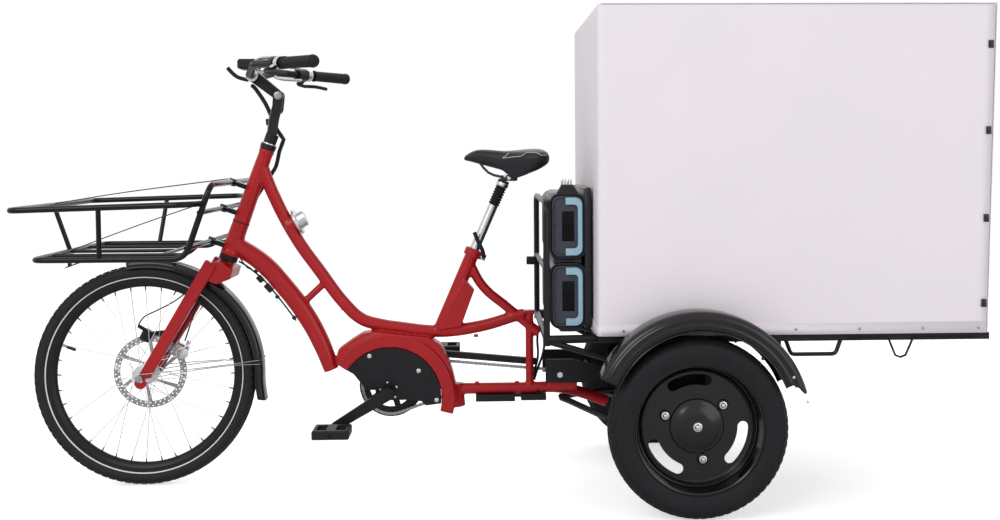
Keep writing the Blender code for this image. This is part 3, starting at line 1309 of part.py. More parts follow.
def make_dock():
    far_y = BATTERY_END_Y + BATTERY_L + 0.0060
    near_y = BATTERY_END_Y + 0.0040
    length = far_y - near_y
    y = (far_y + near_y) / 2
    back_x = BATTERY_X + BATTERY_W / 2 + RUN_GAP
    back_t = BOX_FRONT_X - 0.0050 - back_x
    low = LOWER_BATTERY_Z - BATTERY_H / 2 - RUN_GAP
    mid_low = LOWER_BATTERY_Z + BATTERY_H / 2 + RUN_GAP
    mid_high = UPPER_BATTERY_Z - BATTERY_H / 2 - RUN_GAP
    high = UPPER_BATTERY_Z + BATTERY_H / 2 + RUN_GAP
    left = BATTERY_X - BATTERY_W / 2
    right = back_x + back_t
    pieces = [block("back", (back_t, length, high + 0.026 - low),
                    (back_x + back_t / 2, y, (high + low - 0.006) / 2))]
    shelves = ((low - 0.0130, low, 0.004), (mid_low, mid_high, 0.004), (high, high + 0.0220, 0.014))
    for start, end, trim in shelves:
        width = right - 0.002 - left - trim
        pieces.append(block("shelf", (width, length * 0.98, end - start),
                            (right - 0.002 - width / 2, y, (start + end) / 2)))
    pieces.append(block("far_stop", (right - left - 0.006, 0.0050, high - low + 0.004),
                        ((left + right) / 2, far_y - 0.0020, (high + low) / 2)))
    pin_y = y - 0.060
    for x in (BATTERY_X - 0.006, BATTERY_X + 0.010):
        pieces.append(rod("pin", (x, pin_y, high + 0.010), (x, pin_y, high + 0.0390), 0.0025, 8))
    return grey_case(united("battery_dock", pieces))


# Joints

def make_joints(root):
    hub = (0, 0, FRONT_TYRE_R)
    joints = {}
    joints["steering"] = joint_empty("steering", steer(0), root)
    joints["front_wheel"] = joint_empty("front_wheel", hub, joints["steering"])
    joints["bars"] = joint_empty("bars", (STEM_PIVOT_X, 0, STEM_PIVOT_Z), joints["steering"])
    joints["shifter"] = joint_empty("shifter", grip_point(1, 0.1750), joints["bars"])
    joints["crank"] = joint_empty("crank", (CRANK_X, 0, CRANK_Z), root)
    for side, word in ((-1, "left"), (1, "right")):
        lever = grip_point(side, 0.1490, 0.0425, -0.0245)
        joints["lever_" + word] = joint_empty("lever_" + word, lever, joints["bars"])
        eye = crank_end(side, CRANK_LENGTH)
        pedal = (eye[0], side * PEDAL_Y, eye[1])
        joints["pedal_" + word] = joint_empty("pedal_axis_" + word, pedal, joints["crank"])
        wheel = (REAR_AXLE_X, side * REAR_WHEEL_Y, REAR_TYRE_R)
        joints["wheel_" + word] = joint_empty("wheel_" + word, wheel, root)
    joints["sprocket"] = joint_empty("sprocket_axis", (REAR_AXLE_X, CHAIN_Y, REAR_TYRE_R), root)
    joints["seat_lower"] = joint_empty("seat_lower", seat(0), root)
    joints["seat_upper"] = joint_empty("seat_upper", seat(SEATPOST_TOP), joints["seat_lower"])
    joints["seat_lever"] = joint_empty("seat_lever_axis", seat(-0.0120, *LEVER_FOOT), root)
    joints["battery_upper"] = joint_empty("battery_upper_slide", (BATTERY_X, 0, UPPER_BATTERY_Z), root)
    joints["battery_lower"] = joint_empty("battery_lower_slide", (BATTERY_X, 0, LOWER_BATTERY_Z), root)
    flap_top = (BOX_FRONT_X + BOX_LENGTH + BOX_LEAN - CLOTH_T / 2, 0, BOX_TOP_Z)
    joints["flap"] = joint_empty("flap", flap_top, root)
    joints["dial"] = joint_empty("dial", (DIAL_X, 0, DIAL_Z), root)
    return joints


RIDERS = {
    "steering": ["fork", "front_axle", "lower_caliper", "upper_caliper", "front_fender", "fender_stay",
                 "stem_column", "bar_cables"],
    "front_wheel": ["front_tyre", "front_rim", "front_hub", "brake_disc"],
    "bars": ["stem_arm", "handlebar", "grip_left", "grip_right", "display"],
    "lever_left": ["brake_lever_left"],
    "lever_right": ["brake_lever_right"],
    "shifter": ["twist_shifter"],
    "crank": ["crankset"],
    "pedal_left": ["pedal_left"],
    "pedal_right": ["pedal_right"],
    "sprocket": ["sprocket"],
    "wheel_left": ["rear_tyre_left", "rear_wheel_left"],
    "wheel_right": ["rear_tyre_right", "rear_wheel_right"],
    "seat_lower": ["seatpost", "seat_bellows"],
    "seat_upper": ["suspension_head", "saddle"],
    "seat_lever": ["seat_lever"],
    "battery_upper": ["battery_upper", "battery_handle_upper"],
    "battery_lower": ["battery_lower", "battery_handle_lower"],
    "flap": ["rear_flap"],
    "dial": ["lock_dial"],
}


def main():
    clear_scene()
    make_frame()
    make_headset()
    make_fork()
    make_front_wheel()
    make_brake()
    bright_metal(make_caliper("lower_caliper", 0.0400, (0.0840, FRONT_TYRE_R + 0.0585),
                               (0.0440, FRONT_TYRE_R + 0.0605)))
    black_paint(make_caliper("upper_caliper", 0.0320, (-0.0080, FRONT_TYRE_R + 0.1005),
                              (0.0660, FRONT_TYRE_R + 0.1085)))
    make_front_fender()
    make_basket()
    make_stem()
    make_bar()
    make_cables()
    make_dial()
    make_seat()
    make_motor()
    make_crank()
    make_chain()
    make_sprocket()
    for side, word in ((-1, "left"), (1, "right")):
        make_rear_wheel(side, word)
        make_rear_fender(side, word)
    make_cargo_frame()
    make_deck()
    make_box_frame()
    make_tarpaulin()
    make_battery("upper", UPPER_BATTERY_Z)
    make_battery("lower", LOWER_BATTERY_Z)
    make_dock()
    pieces = [obj for obj in PARTS.objects if obj.type == "MESH"]
    for obj in pieces:
        shade(obj)
    root = joint_empty("trike_root", (0, 0, 0))
    joints = make_joints(root)
    for joint, names in RIDERS.items():
        for name in names:
            hang_on(joints[joint], PARTS.objects[name])
    hang_on(root, *[obj for obj in pieces if obj.parent is None])
    reach = [corner[0] for obj in pieces for corner in obj.bound_box]
    root.location.x = -(min(reach) + max(reach)) / 2


main()
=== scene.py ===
import math

import bmesh
import bpy
from mathutils import Matrix, Vector, noise


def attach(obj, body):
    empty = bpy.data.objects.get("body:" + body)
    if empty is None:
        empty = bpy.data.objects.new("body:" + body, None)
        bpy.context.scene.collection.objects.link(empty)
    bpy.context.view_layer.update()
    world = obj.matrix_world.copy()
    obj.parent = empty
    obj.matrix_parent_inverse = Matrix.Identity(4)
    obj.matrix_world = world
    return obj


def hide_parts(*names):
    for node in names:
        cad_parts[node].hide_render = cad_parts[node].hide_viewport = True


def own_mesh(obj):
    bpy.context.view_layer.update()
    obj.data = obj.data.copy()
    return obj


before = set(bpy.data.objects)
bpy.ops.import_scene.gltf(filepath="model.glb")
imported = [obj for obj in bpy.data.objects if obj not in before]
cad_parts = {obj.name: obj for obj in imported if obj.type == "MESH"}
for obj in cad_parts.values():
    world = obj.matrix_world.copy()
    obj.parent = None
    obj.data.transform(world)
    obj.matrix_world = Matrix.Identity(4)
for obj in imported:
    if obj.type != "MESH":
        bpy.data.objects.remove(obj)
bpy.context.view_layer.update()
print("stage: packed trike loaded,", len(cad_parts), "nodes")

# Lengths are metres. Places along the trike are measured back from the front axle.
axleX = -0.9709
wheelR = 0.3035
rearWheelR = 0.2255
rearAxle = (1.464, 0.402)
lean = math.radians(19.9)  # head tube, back from upright
headFoot = (0.2238, 0.612)
seatLean = math.radians(23.6)  # seat tube, back from upright
seatFoot = (0.911, 0.643)
leftRight = (("Left", -1), ("Right", 1))


def at(x, y, z):
    return Vector((x + axleX, y, z))


def leaningAt(foot, tilt, along, ahead, y):
    x = foot[0] + along * math.sin(tilt) - ahead * math.cos(tilt)
    return at(x, y, foot[1] + along * math.cos(tilt) + ahead * math.sin(tilt))


def steerAt(along, ahead=0.0, y=0.0):
    return leaningAt(headFoot, lean, along, ahead, y)


def seatAt(along, ahead=0.0, y=0.0):
    return leaningAt(seatFoot, seatLean, along, ahead, y)


# the way out from a wheel's middle, up from straight back
def direction(deg):
    return Vector((math.cos(math.radians(deg)), 0, math.sin(math.radians(deg))))


def turned(deg, axis):
    return Matrix.Rotation(math.radians(deg), 4, axis)


# materials

def hexColour(code):
    parts = [int(code[i:i + 2], 16) / 255 for i in (1, 3, 5)]
    return [c / 12.92 if c <= 0.04045 else ((c + 0.055) / 1.055) ** 2.4 for c in parts] + [1.0]


def addNode(tree, kind, settings=None, links=None):
    node = tree.nodes.new(kind)
    for key, value in (settings or {}).items():
        if isinstance(key, int) or key in node.inputs:
            node.inputs[key].default_value = value
        else:
            setattr(node, key, value)
    for key, source in (links or {}).items():
        tree.links.new(source, node.inputs[key])
    return node


# one step of arithmetic in a shader, on sockets or plain numbers
def calculate(tree, operation, *terms):
    node = addNode(tree, "ShaderNodeMath", {"operation": operation})
    for index, term in enumerate(terms):
        if isinstance(term, (int, float)):
            node.inputs[index].default_value = term
        else:
            tree.links.new(term, node.inputs[index])
    return node.outputs[0]


# a second bump over the first
def addRelief(tree, shader, height, strength, distance, under):
    relief = addNode(tree, "ShaderNodeBump", {"Strength": strength, "Distance": distance},
                     {"Height": height, "Normal": under.outputs["Normal"]})
    tree.links.new(relief.outputs["Normal"], shader.inputs["Normal"])


# a surface with a slightly uneven colour and gloss and a fine grain, sizes in mm
def makeSurface(name, look):
    material = bpy.data.materials.new(name)
    material.use_nodes = True
    tree = material.node_tree
    shader = tree.nodes["Principled BSDF"]
    shader.inputs["Metallic"].default_value = look.get("metallic", 0.0)
    shader.inputs["Coat Weight"].default_value = look.get("coat", 0.0)
    shader.inputs["Coat Roughness"].default_value = look.get("coatRoughness", 0.1)
    shader.inputs["Sheen Weight"].default_value = look.get("sheen", 0.0)
    shader.inputs["Specular IOR Level"].default_value = look.get("specular", 0.5)
    if not look.get("metallic"):
        shader.inputs["IOR"].default_value = look.get("ior", 1.5)
    place = addNode(tree, "ShaderNodeTexCoord").outputs["Object"]
    patches = addNode(tree, "ShaderNodeTexNoise",
                      {"Scale": 1000 / look.get("patchMm", 60), "Detail": 3.0}, {"Vector": place})
    tone = addNode(tree, "ShaderNodeMix", {
        "data_type": "RGBA", 6: hexColour(look["colour"]), 7: hexColour(look.get("second", look["colour"])),
    }, {0: patches.outputs["Fac"]})
    tree.links.new(tone.outputs[2], shader.inputs["Base Color"])
    low = look["roughness"] - look.get("unevenGloss", 0.04)
    high = look["roughness"] + look.get("unevenGloss", 0.04)
    gloss = addNode(tree, "ShaderNodeMapRange", {"To Min": low, "To Max": high},
                    {"Value": patches.outputs["Fac"]})
    tree.links.new(gloss.outputs["Result"], shader.inputs["Roughness"])
    grain = addNode(tree, "ShaderNodeTexNoise",
                    {"Scale": 1000 / look.get("grainMm", 3), "Detail": 2.0}, {"Vector": place})
    bump = addNode(tree, "ShaderNodeBump",
                   {"Strength": look.get("grain", 0.1), "Distance": 0.001 * look.get("depthMm", 0.3)},
                   {"Height": grain.outputs["Fac"]})
    tree.links.new(bump.outputs["Normal"], shader.inputs["Normal"])
    return material, tree, shader, place, bump


# stove enamel over steel: deep red under a clear, faintly rippled gloss coat
redEnamel = makeSurface("glossRedEnamel", {
    "colour": "#B3191F", "second": "#A3161C", "roughness": 0.3, "specular": 0.22, "coat": 0.14,
    "coatRoughness": 0.06,
    "patchMm": 90, "grainMm": 4, "grain": 0.12, "depthMm": 0.25,
})[0]
# powder coat: a satin black with a pebbled skin of about 1 mm
blackPowder = makeSurface("satinBlackPowderCoat", {
    "colour": "#151518", "second": "#1C1C20", "roughness": 0.34, "specular": 0.22,
    "patchMm": 40, "grainMm": 1.6, "grain": 0.18, "depthMm": 0.2,
})[0]
# wet-look lacquer on pressed steel
blackLacquer = makeSurface("glossBlackLacquer", {
    "colour": "#0B0B0E", "second": "#101013", "roughness": 0.2, "specular": 0.34, "coat": 0.1,
    "coatRoughness": 0.05,
    "patchMm": 70, "grainMm": 5, "grain": 0.08, "depthMm": 0.2,
})[0]
# powder coat baked glossy over bent tube, so that it shows long bright lines
wetBlack = makeSurface("glossBlackPowderCoat", {
    "colour": "#0E0E10", "second": "#131316", "roughness": 0.14, "specular": 0.2, "coat": 0.04,
    "coatRoughness": 0.05, "patchMm": 60, "grainMm": 6, "grain": 0.08, "depthMm": 0.2,
})[0]
# injection-moulded nylon: dull black with spark-eroded grain
blackNylon = makeSurface("mouldedBlackNylon", {
    "colour": "#17171A", "second": "#202024", "roughness": 0.5, "specular": 0.22, "patchMm": 25,
    "grainMm": 1.2, "grain": 0.25, "depthMm": 0.2,
})[0]
# soft grip and cable rubber
softRubber = makeSurface("mattBlackRubber", {
    "colour": "#18181B", "second": "#222226", "roughness": 0.66, "specular": 0.25, "patchMm": 20,
    "grainMm": 1.5, "grain": 0.3, "depthMm": 0.25,
})[0]
# ABS battery shell, moulded with a fine satin texture
greyShell = makeSurface("satinGreyAbs", {
    "colour": "#424550", "second": "#3B3E48", "roughness": 0.42, "specular": 0.3, "patchMm": 50,
    "grainMm": 1.0, "grain": 0.2, "depthMm": 0.15,
})[0]
darkShell = makeSurface("darkGreyAbs", {
    "colour": "#222328", "second": "#1B1C20", "roughness": 0.36, "specular": 0.3, "patchMm": 60,
    "grainMm": 1.2, "grain": 0.2, "depthMm": 0.15,
})[0]
turquoiseShell = makeSurface("turquoiseAbs", {
    "colour": "#9CC3D2", "second": "#92BACA", "roughness": 0.42, "patchMm": 30,
    "grainMm": 1.0, "grain": 0.15, "depthMm": 0.15,
})[0]
# aluminium, polished and then anodised clear
brightAluminium = makeSurface("polishedAluminium", {
    "colour": "#D6D6D8", "second": "#C2C2C6", "roughness": 0.26, "metallic": 1.0, "patchMm": 15,
    "grainMm": 2, "grain": 0.06, "depthMm": 0.1,
})[0]
# stainless steel, ground and brushed
brushedSteel = makeSurface("brushedStainlessSteel", {
    "colour": "#A6A6AA", "second": "#8B8B90", "roughness": 0.34, "metallic": 1.0, "patchMm": 6,
    "grainMm": 1.5, "grain": 0.12, "depthMm": 0.1,
})[0]
# oiled chain steel and cast housings
darkSteel = makeSurface("phosphatedSteel", {
    "colour": "#3A3A3D", "second": "#2C2C2F", "roughness": 0.42, "metallic": 0.7, "patchMm": 12,
    "grainMm": 1.5, "grain": 0.2, "depthMm": 0.15,
})[0]
smokedGlass = makeSurface("smokedAcrylic", {
    "colour": "#060608", "second": "#09090C", "roughness": 0.2, "specular": 0.12,
    "patchMm": 40, "grain": 0.0,
})[0]


# tyre rubber, with the sidewall's rings and its reflective stripe measured from the wheel's axis
def makeTyreRubber(name, centre, look):
    material, tree, shader, place, bump = makeSurface(name, look)
    centred = addNode(tree, "ShaderNodeMapping", {"vector_type": "POINT", "Location": [-c for c in centre]},
                      {"Vector": place})
    flat = addNode(tree, "ShaderNodeVectorMath", {"operation": "MULTIPLY", 1: (1.0, 0.0, 1.0)},
                   {0: centred.outputs["Vector"]})
    reach = addNode(tree, "ShaderNodeVectorMath", {"operation": "LENGTH"},
                    {0: flat.outputs["Vector"]}).outputs["Value"]
    rings = calculate(tree, "SINE", calculate(tree, "MULTIPLY", reach, 2 * math.pi / look["ringMm"] * 1000))
    addRelief(tree, shader, rings, 0.35, 0.0004, bump)
    if "stripe" in look:
        radius, half = look["stripe"]
        off = calculate(tree, "ABSOLUTE", calculate(tree, "SUBTRACT", reach, radius))
        on = calculate(tree, "LESS_THAN", off, half)
        dark = shader.inputs["Base Color"].links[0].from_socket
        tone = addNode(tree, "ShaderNodeMix", {"data_type": "RGBA", 7: hexColour("#E9E7E0")},
                       {0: on, 6: dark})
        tree.links.new(tone.outputs[2], shader.inputs["Base Color"])
    return material


frontTyreRubber = makeTyreRubber("frontTyreRubber", at(0, 0, wheelR), {
    "colour": "#1B1B1F", "second": "#26262A", "roughness": 0.6, "specular": 0.22, "patchMm": 30,
    "grainMm": 1.5,
    "grain": 0.3, "depthMm": 0.3, "ringMm": 3.2, "stripe": (0.2695, 0.0014),
})
rearTyreRubber = makeTyreRubber("rearTyreRubber", at(rearAxle[0], 0, rearWheelR), {
    "colour": "#17171A", "second": "#202024", "roughness": 0.62, "specular": 0.2, "patchMm": 35,
    "grainMm": 1.5,
    "grain": 0.3, "depthMm": 0.3, "ringMm": 4.5,
})


# PVC-coated polyester: a smooth pale lavender-white skin in which the base cloth's threads just show
def makeTarpaulin():
    material, tree, shader, place, bump = makeSurface("coatedTarpaulin", {
        "colour": "#F1EAF0", "second": "#EAE3EA", "roughness": 0.5, "patchMm": 260, "unevenGloss": 0.03,
        "sheen": 0.1, "grainMm": 90, "grain": 0.35, "depthMm": 3.0,
    })
    split = addNode(tree, "ShaderNodeSeparateXYZ", {}, {"Vector": place}).outputs
    # threads lie 1 mm apart and are drawn 3 mm apart so that they show
    threads = [calculate(tree, "SINE", calculate(tree, "MULTIPLY", source, 2 * math.pi / 0.003))
               for source in (calculate(tree, "ADD", split["X"], split["Y"]), split["Z"])]
    addRelief(tree, shader, calculate(tree, "MULTIPLY", *threads), 0.12, 0.0002, bump)
    return material


tarpaulinCloth = makeTarpaulin()


# saddle cover: vinyl with a leather-like grain of small cells
def makeSaddleVinyl():
    material, tree, shader, place, bump = makeSurface("grainedSaddleVinyl", {
        "colour": "#1F1F24", "second": "#29292F", "roughness": 0.45, "specular": 0.25, "patchMm": 35,
        "grainMm": 2, "grain": 0.2, "depthMm": 0.3,
    })
    cells = addNode(tree, "ShaderNodeTexVoronoi", {"feature": "DISTANCE_TO_EDGE", "Scale": 1000 / 2.5},
                    {"Vector": place})
    addRelief(tree, shader, cells.outputs["Distance"], 0.3, 0.0004, bump)
    return material


saddleVinyl = makeSaddleVinyl()
greyPiping = makeSurface("greyPipingVinyl", {
    "colour": "#C4C6CC", "second": "#AEB0B6", "roughness": 0.5, "patchMm": 20, "grainMm": 1.5,
    "grain": 0.15, "depthMm": 0.2,
})[0]
print("stage: materials made")

# the CAD solids that stay, each with its finish

finishes = {
    redEnamel: ["main_frame", "fork", "seat_collar"],
    blackPowder: ["headset_lower", "headset_upper", "upper_caliper", "basket", "stem_column", "stem_arm",
                  "handlebar", "motor_cover", "crankset", "cargo_frame", "box_frame", "front_rim"],
    blackLacquer: ["front_fender", "rear_wheel_left", "rear_wheel_right", "rear_fender_left",
                   "rear_fender_right"],
    blackNylon: ["brake_lever_left", "brake_lever_right", "display", "wiring", "seat_lever", "pedal_left",
                 "pedal_right", "chain_bar", "chain_guide"],
    softRubber: ["grip_left", "grip_right", "bar_cables", "frame_cables", "seat_bellows", "rail_cable"],
    brightAluminium: ["front_hub", "lower_caliper", "lock_dial", "seatpost"],
    brushedSteel: ["front_axle", "fender_stay", "sprocket", "brake_disc"],
    darkSteel: ["motor", "suspension_head", "deck_panel", "twist_shifter", "chain"],
    greyShell: ["battery_upper", "battery_lower"],
    darkShell: ["battery_dock"],
    turquoiseShell: ["battery_handle_upper", "battery_handle_lower"],
    frontTyreRubber: ["front_tyre"],
    rearTyreRubber: ["rear_tyre_left", "rear_tyre_right"],
    tarpaulinCloth: ["tarpaulin", "rear_flap"],
    saddleVinyl: ["saddle"],
}
edges = {"weld": 0.00001, "bevel": 0.0008, "sharpDeg": 32}


def roundEdges(piece, width, sharpDeg):
    bevel = piece.modifiers.new("bevel", "BEVEL")
    bevel.width = width
    bevel.segments = 2
    bevel.limit_method = "ANGLE"
    bevel.angle_limit = math.radians(sharpDeg)


def thicken(piece, thickness, offset=0.0):
    wall = piece.modifiers.new("wall", "SOLIDIFY")
    wall.thickness = thickness
    wall.offset = offset


for material, names in finishes.items():
    for name in names:
        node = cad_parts[name]
        for face in node.material_slots:
            face.material = material
        weld = node.modifiers.new("weld", "WELD")
        weld.merge_threshold = edges["weld"]
        if name not in ("tarpaulin", "rear_flap", "saddle"):
            roundEdges(node, edges["bevel"], edges["sharpDeg"])
        even = node.modifiers.new("even", "WEIGHTED_NORMAL")
        even.mode = "FACE_AREA"
print("stage: CAD solids finished")


# helpers for new pieces

def makePiece(name, bm, body, material, smoothDeg=35):
    bmesh.ops.remove_doubles(bm, verts=bm.verts, dist=0.00001)
    bmesh.ops.recalc_face_normals(bm, faces=bm.faces)
    mesh = bpy.data.meshes.new(name)
    bm.to_mesh(mesh)
    bm.free()
    mesh.shade_smooth()
    mesh.set_sharp_from_angle(angle=math.radians(smoothDeg))
    mesh.materials.append(material)
    piece = bpy.data.objects.new(name, mesh)
    bpy.context.scene.collection.objects.link(piece)
    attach(piece, body)
    return piece


# spins a profile of (radius, across) round an axis along Y
def spinProfile(bm, profile, centre, steps):
    verts = [bm.verts.new(Vector(centre) + Vector((r, a, 0))) for r, a in profile]
    profileEdges = [bm.edges.new(pair) for pair in zip(verts, verts[1:] + verts[:1])]
    bmesh.ops.spin(bm, geom=verts + profileEdges, cent=centre, axis=(0, 1, 0), angle=2 * math.pi,
                   steps=steps, use_merge=True)


# a half section with its mirror image across the middle plane
def bothHalves(half):
    return half + [(r, -a) for r, a in reversed(half)]


# lays copies of a block round an axis along Y
def repeatRound(bm, verts, centre, count):
    whole = verts + list({e for v in verts for e in v.link_edges}) + list({f for v in verts
                                                                           for f in v.link_faces})
    bmesh.ops.spin(bm, geom=whole, cent=centre, axis=(0, 1, 0), use_duplicate=True,
                   angle=2 * math.pi * (count - 1) / count, steps=count - 1)


def roundOff(bm, around, reach, segments=2):
    bmesh.ops.bevel(bm, geom=list(around), offset=reach, segments=segments, affect="EDGES", profile=0.5,
                    material=-1)


# a small round-edged drum between two points
def addDrum(bm, start, end, radius, endRadius=None, sides=20, rim=0.0):
    start, end = Vector(start), Vector(end)
    turn = (end - start).to_track_quat("Z", "Y").to_matrix().to_4x4()
    made = bmesh.ops.create_cone(bm, cap_ends=True, segments=sides, radius1=radius,
                                 radius2=endRadius or radius, depth=(end - start).length,
                                 matrix=Matrix.Translation((start + end) / 2) @ turn)
    if rim:
        around = {e for v in made["verts"] for e in v.link_edges if len(e.link_faces) == 2
                  and max(len(f.verts) for f in e.link_faces) > 4}
        roundOff(bm, around, rim)
    return made["verts"]


def addBlock(bm, middle, size, turn=None, rim=0.0):
    made = bmesh.ops.create_cube(bm, size=1, matrix=Matrix.Translation(middle) @ (turn or Matrix())
                                 @ Matrix.Diagonal((*size, 1)))
    if rim:
        roundOff(bm, {e for v in made["verts"] for e in v.link_edges}, rim)


# turns a curve into faces
def addCurve(bm, curve, turn=Matrix()):
    line = bpy.data.objects.new(curve.name, curve)
    bpy.context.scene.collection.objects.link(line)
    mesh = bpy.data.meshes.new_from_object(line.evaluated_get(bpy.context.evaluated_depsgraph_get()))
    bpy.data.objects.remove(line)
    mesh.transform(turn)
    bm.from_mesh(mesh)
    bpy.data.meshes.remove(mesh)


# a round tube along points, straight between them (POLY) or smoothly bent (NURBS, BEZIER)
def addPath(bm, kind, points, radius, rings, closed=False, radii=()):
    curve = bpy.data.curves.new("path", "CURVE")
    curve.dimensions = "3D"
    curve.bevel_depth = radius
    curve.bevel_resolution = rings
    curve.use_fill_caps = not closed
    spline = curve.splines.new(kind)
    if kind == "BEZIER":
        spline.bezier_points.add(len(points) - 1)
        for point, place, wide in zip(spline.bezier_points, points, radii):
            point.co = place
            point.radius = wide
            point.handle_left_type = point.handle_right_type = "AUTO"
        spline.resolution_u = 8
    else:
        spline.points.add(len(points) - 1)
        for point, place in zip(spline.points, points):
            point.co = (*place, 1.0)
        spline.use_cyclic_u = closed
    if kind == "NURBS":
        spline.use_endpoint_u = True
        spline.order_u = 3
        spline.resolution_u = 4
    addCurve(bm, curve)


# a tube whose radius changes from point to point
def addTube(bm, points, radii):
    addPath(bm, "BEZIER", points, 1.0, 6, radii=radii)


def addPipe(bm, points, radius, closed=False):
    addPath(bm, "POLY", points, radius, 4, closed)


def makeCable(name, points, radius, body, material):
    bm = bmesh.new()
    addPath(bm, "NURBS", points, radius, 3)
    return makePiece(name, bm, body, material)


# front wheel

frontWheel = {
    "steps": 128, "treadR": 0.3016, "topR": 0.3034, "halfWidth": 0.0248, "beadR": 0.2645, "beadHalf": 0.016,
    "blocks": 84, "block": (0.0135, 0.0085, 0.004), "rows": (-0.0165, -0.0055, 0.0055, 0.0165),
}


def makeFrontTyre():
    centre = at(0, 0, wheelR)
    w, top = frontWheel["halfWidth"], frontWheel["treadR"]
    half = [
        (top, 0.004), (top - 0.0012, 0.011), (top - 0.0045, 0.0175), (top - 0.0105, 0.0225),
        (top - 0.0185, w), (top - 0.0265, 0.0228), (frontWheel["beadR"] + 0.0042, 0.0182),
        (frontWheel["beadR"], frontWheel["beadHalf"]),
    ]
    bm = bmesh.new()
    spinProfile(bm, bothHalves(half), centre, frontWheel["steps"])
    long, wide, tall = frontWheel["block"]
    for index, across in enumerate(frontWheel["rows"]):
        drop = 0.0042 * (abs(across) / 0.0165) ** 2
        turn = turned(1.1 * (index % 2), "Y")
        tip = turned(-across * 1500, "X")
        place = Matrix.Translation((0, across, frontWheel["topR"] - tall / 2 - drop))
        shape = Matrix.Translation(centre) @ turn @ place @ tip @ Matrix.Diagonal((long, wide, tall, 1))
        made = bmesh.ops.create_cube(bm, size=1, matrix=shape)
        repeatRound(bm, made["verts"], centre, frontWheel["blocks"])
    tyre = makePiece("frontTyreTreaded", bm, "front_wheel", frontTyreRubber)
    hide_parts("front_tyre")


makeFrontTyre()
print("stage: front tyre made")

frontRim = {"outer": 0.2648, "inner": 0.2425, "half": 0.016, "steps": 128}


def makeFrontRim():
    half, outer, inner = frontRim["half"], frontRim["outer"], frontRim["inner"]
    side = [(outer, half - 0.0004), (outer - 0.006, half), (outer - 0.0095, half - 0.0012),
            (inner + 0.004, 0.0088), (inner + 0.0008, 0.005), (inner, 0.002)]
    bm = bmesh.new()
    spinProfile(bm, bothHalves(side), at(0, 0, wheelR), frontRim["steps"])
    rim = makePiece("frontRimBlack", bm, "front_wheel", blackPowder)
    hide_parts("front_rim")


makeFrontRim()

frontHub = {"spokes": 36, "spokeR": 0.001, "flangeR": 0.0262, "flangeY": 0.033, "crossDeg": 60,
            "rimR": 0.244,
            "nippleR": 0.0021, "nippleLong": 0.012}


def makeFrontHub():
    centre = at(0, 0, wheelR)
    profile = [
        (0.0085, -0.04), (0.012, -0.04), (0.013, -0.037), (0.029, -0.035), (0.029, -0.0315),
        (0.0175, -0.029), (0.016, -0.024), (0.016, 0.024), (0.0175, 0.029), (0.029, 0.0315),
        (0.029, 0.035), (0.0225, 0.037), (0.0225, 0.0428), (0.0085, 0.0428),
    ]
    bm = bmesh.new()
    spinProfile(bm, profile, centre, 48)
    nipples = bmesh.new()
    for index in range(frontHub["spokes"]):
        side = -1 if index % 2 else 1
        rimAngle = 2 * math.pi * index / frontHub["spokes"]
        trail = math.radians(frontHub["crossDeg"]) * (1 if index // 2 % 2 else -1)
        foot = Vector((math.cos(rimAngle + trail), 0, math.sin(rimAngle + trail))) * frontHub["flangeR"]
        foot.y = side * (frontHub["flangeY"] + (0.0022 if index // 2 % 2 else -0.0022))
        out = Vector((math.cos(rimAngle), 0, math.sin(rimAngle)))
        tip = out * frontHub["rimR"] + Vector((0, side * 0.003, 0))
        addDrum(bm, centre + foot, centre + tip, frontHub["spokeR"], sides=8)
        along = (foot - tip).normalized()
        addDrum(nipples, centre + tip, centre + tip + along * frontHub["nippleLong"], frontHub["nippleR"],
                endRadius=0.0015, sides=8)
    hub = makePiece("frontHubSpoked", bm, "front_wheel", brightAluminium)
    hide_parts("front_hub")
    makePiece("spokeNipples", nipples, "front_wheel", darkSteel)


makeFrontHub()

valve = {"deg": 160.3, "rimR": 0.244, "stemR": 0.003, "capFrom": 0.23, "capTo": 0.204, "capR": 0.004}


def makeValve():
    out = direction(valve["deg"])
    centre = at(0, 0, wheelR)
    bm = bmesh.new()
    addDrum(bm, centre + out * valve["rimR"], centre + out * (valve["capTo"] + 0.012), valve["stemR"])
    makePiece("valveStem", bm, "front_wheel", brushedSteel)
    bm = bmesh.new()
    addDrum(bm, centre + out * valve["capFrom"], centre + out * valve["capTo"], valve["capR"], rim=0.0012)
    makePiece("valveCap", bm, "front_wheel", blackNylon)


makeValve()


# flat outlines in the XZ plane with holes where they lie inside one another, thickened along Y
def addFlat(bm, outlines, y, thickness):
    curve = bpy.data.curves.new("flat", "CURVE")
    curve.dimensions = "2D"
    curve.fill_mode = "BOTH"
    curve.extrude = thickness / 2
    for outline in outlines:
        spline = curve.splines.new("POLY")
        spline.points.add(len(outline) - 1)
        for point, (x, z) in zip(spline.points, outline):
            point.co = (x, z, 0, 1)
        spline.use_cyclic_u = True
    addCurve(bm, curve, Matrix.Translation((0, y, 0)) @ turned(90, "X"))


def arcPoints(centre, radius, startDeg, endDeg, steps):
    return [(centre[0] + radius * math.cos(math.radians(startDeg + (endDeg - startDeg) * i / steps)),
             centre[1] + radius * math.sin(math.radians(startDeg + (endDeg - startDeg) * i / steps)))
            for i in range(steps + 1)]


def circlePoints(centre, radius, steps):
    return arcPoints(centre, radius, 0, 360 * (steps - 1) / steps, steps - 1)


rotor = {"y": 0.044, "thick": 0.002, "outer": 0.1015, "bandInner": 0.0835, "boss": 0.026, "bore": 0.0085,
         "holes": 40, "holeR": 0.0022, "rows": (0.088, 0.0965), "arms": 6}


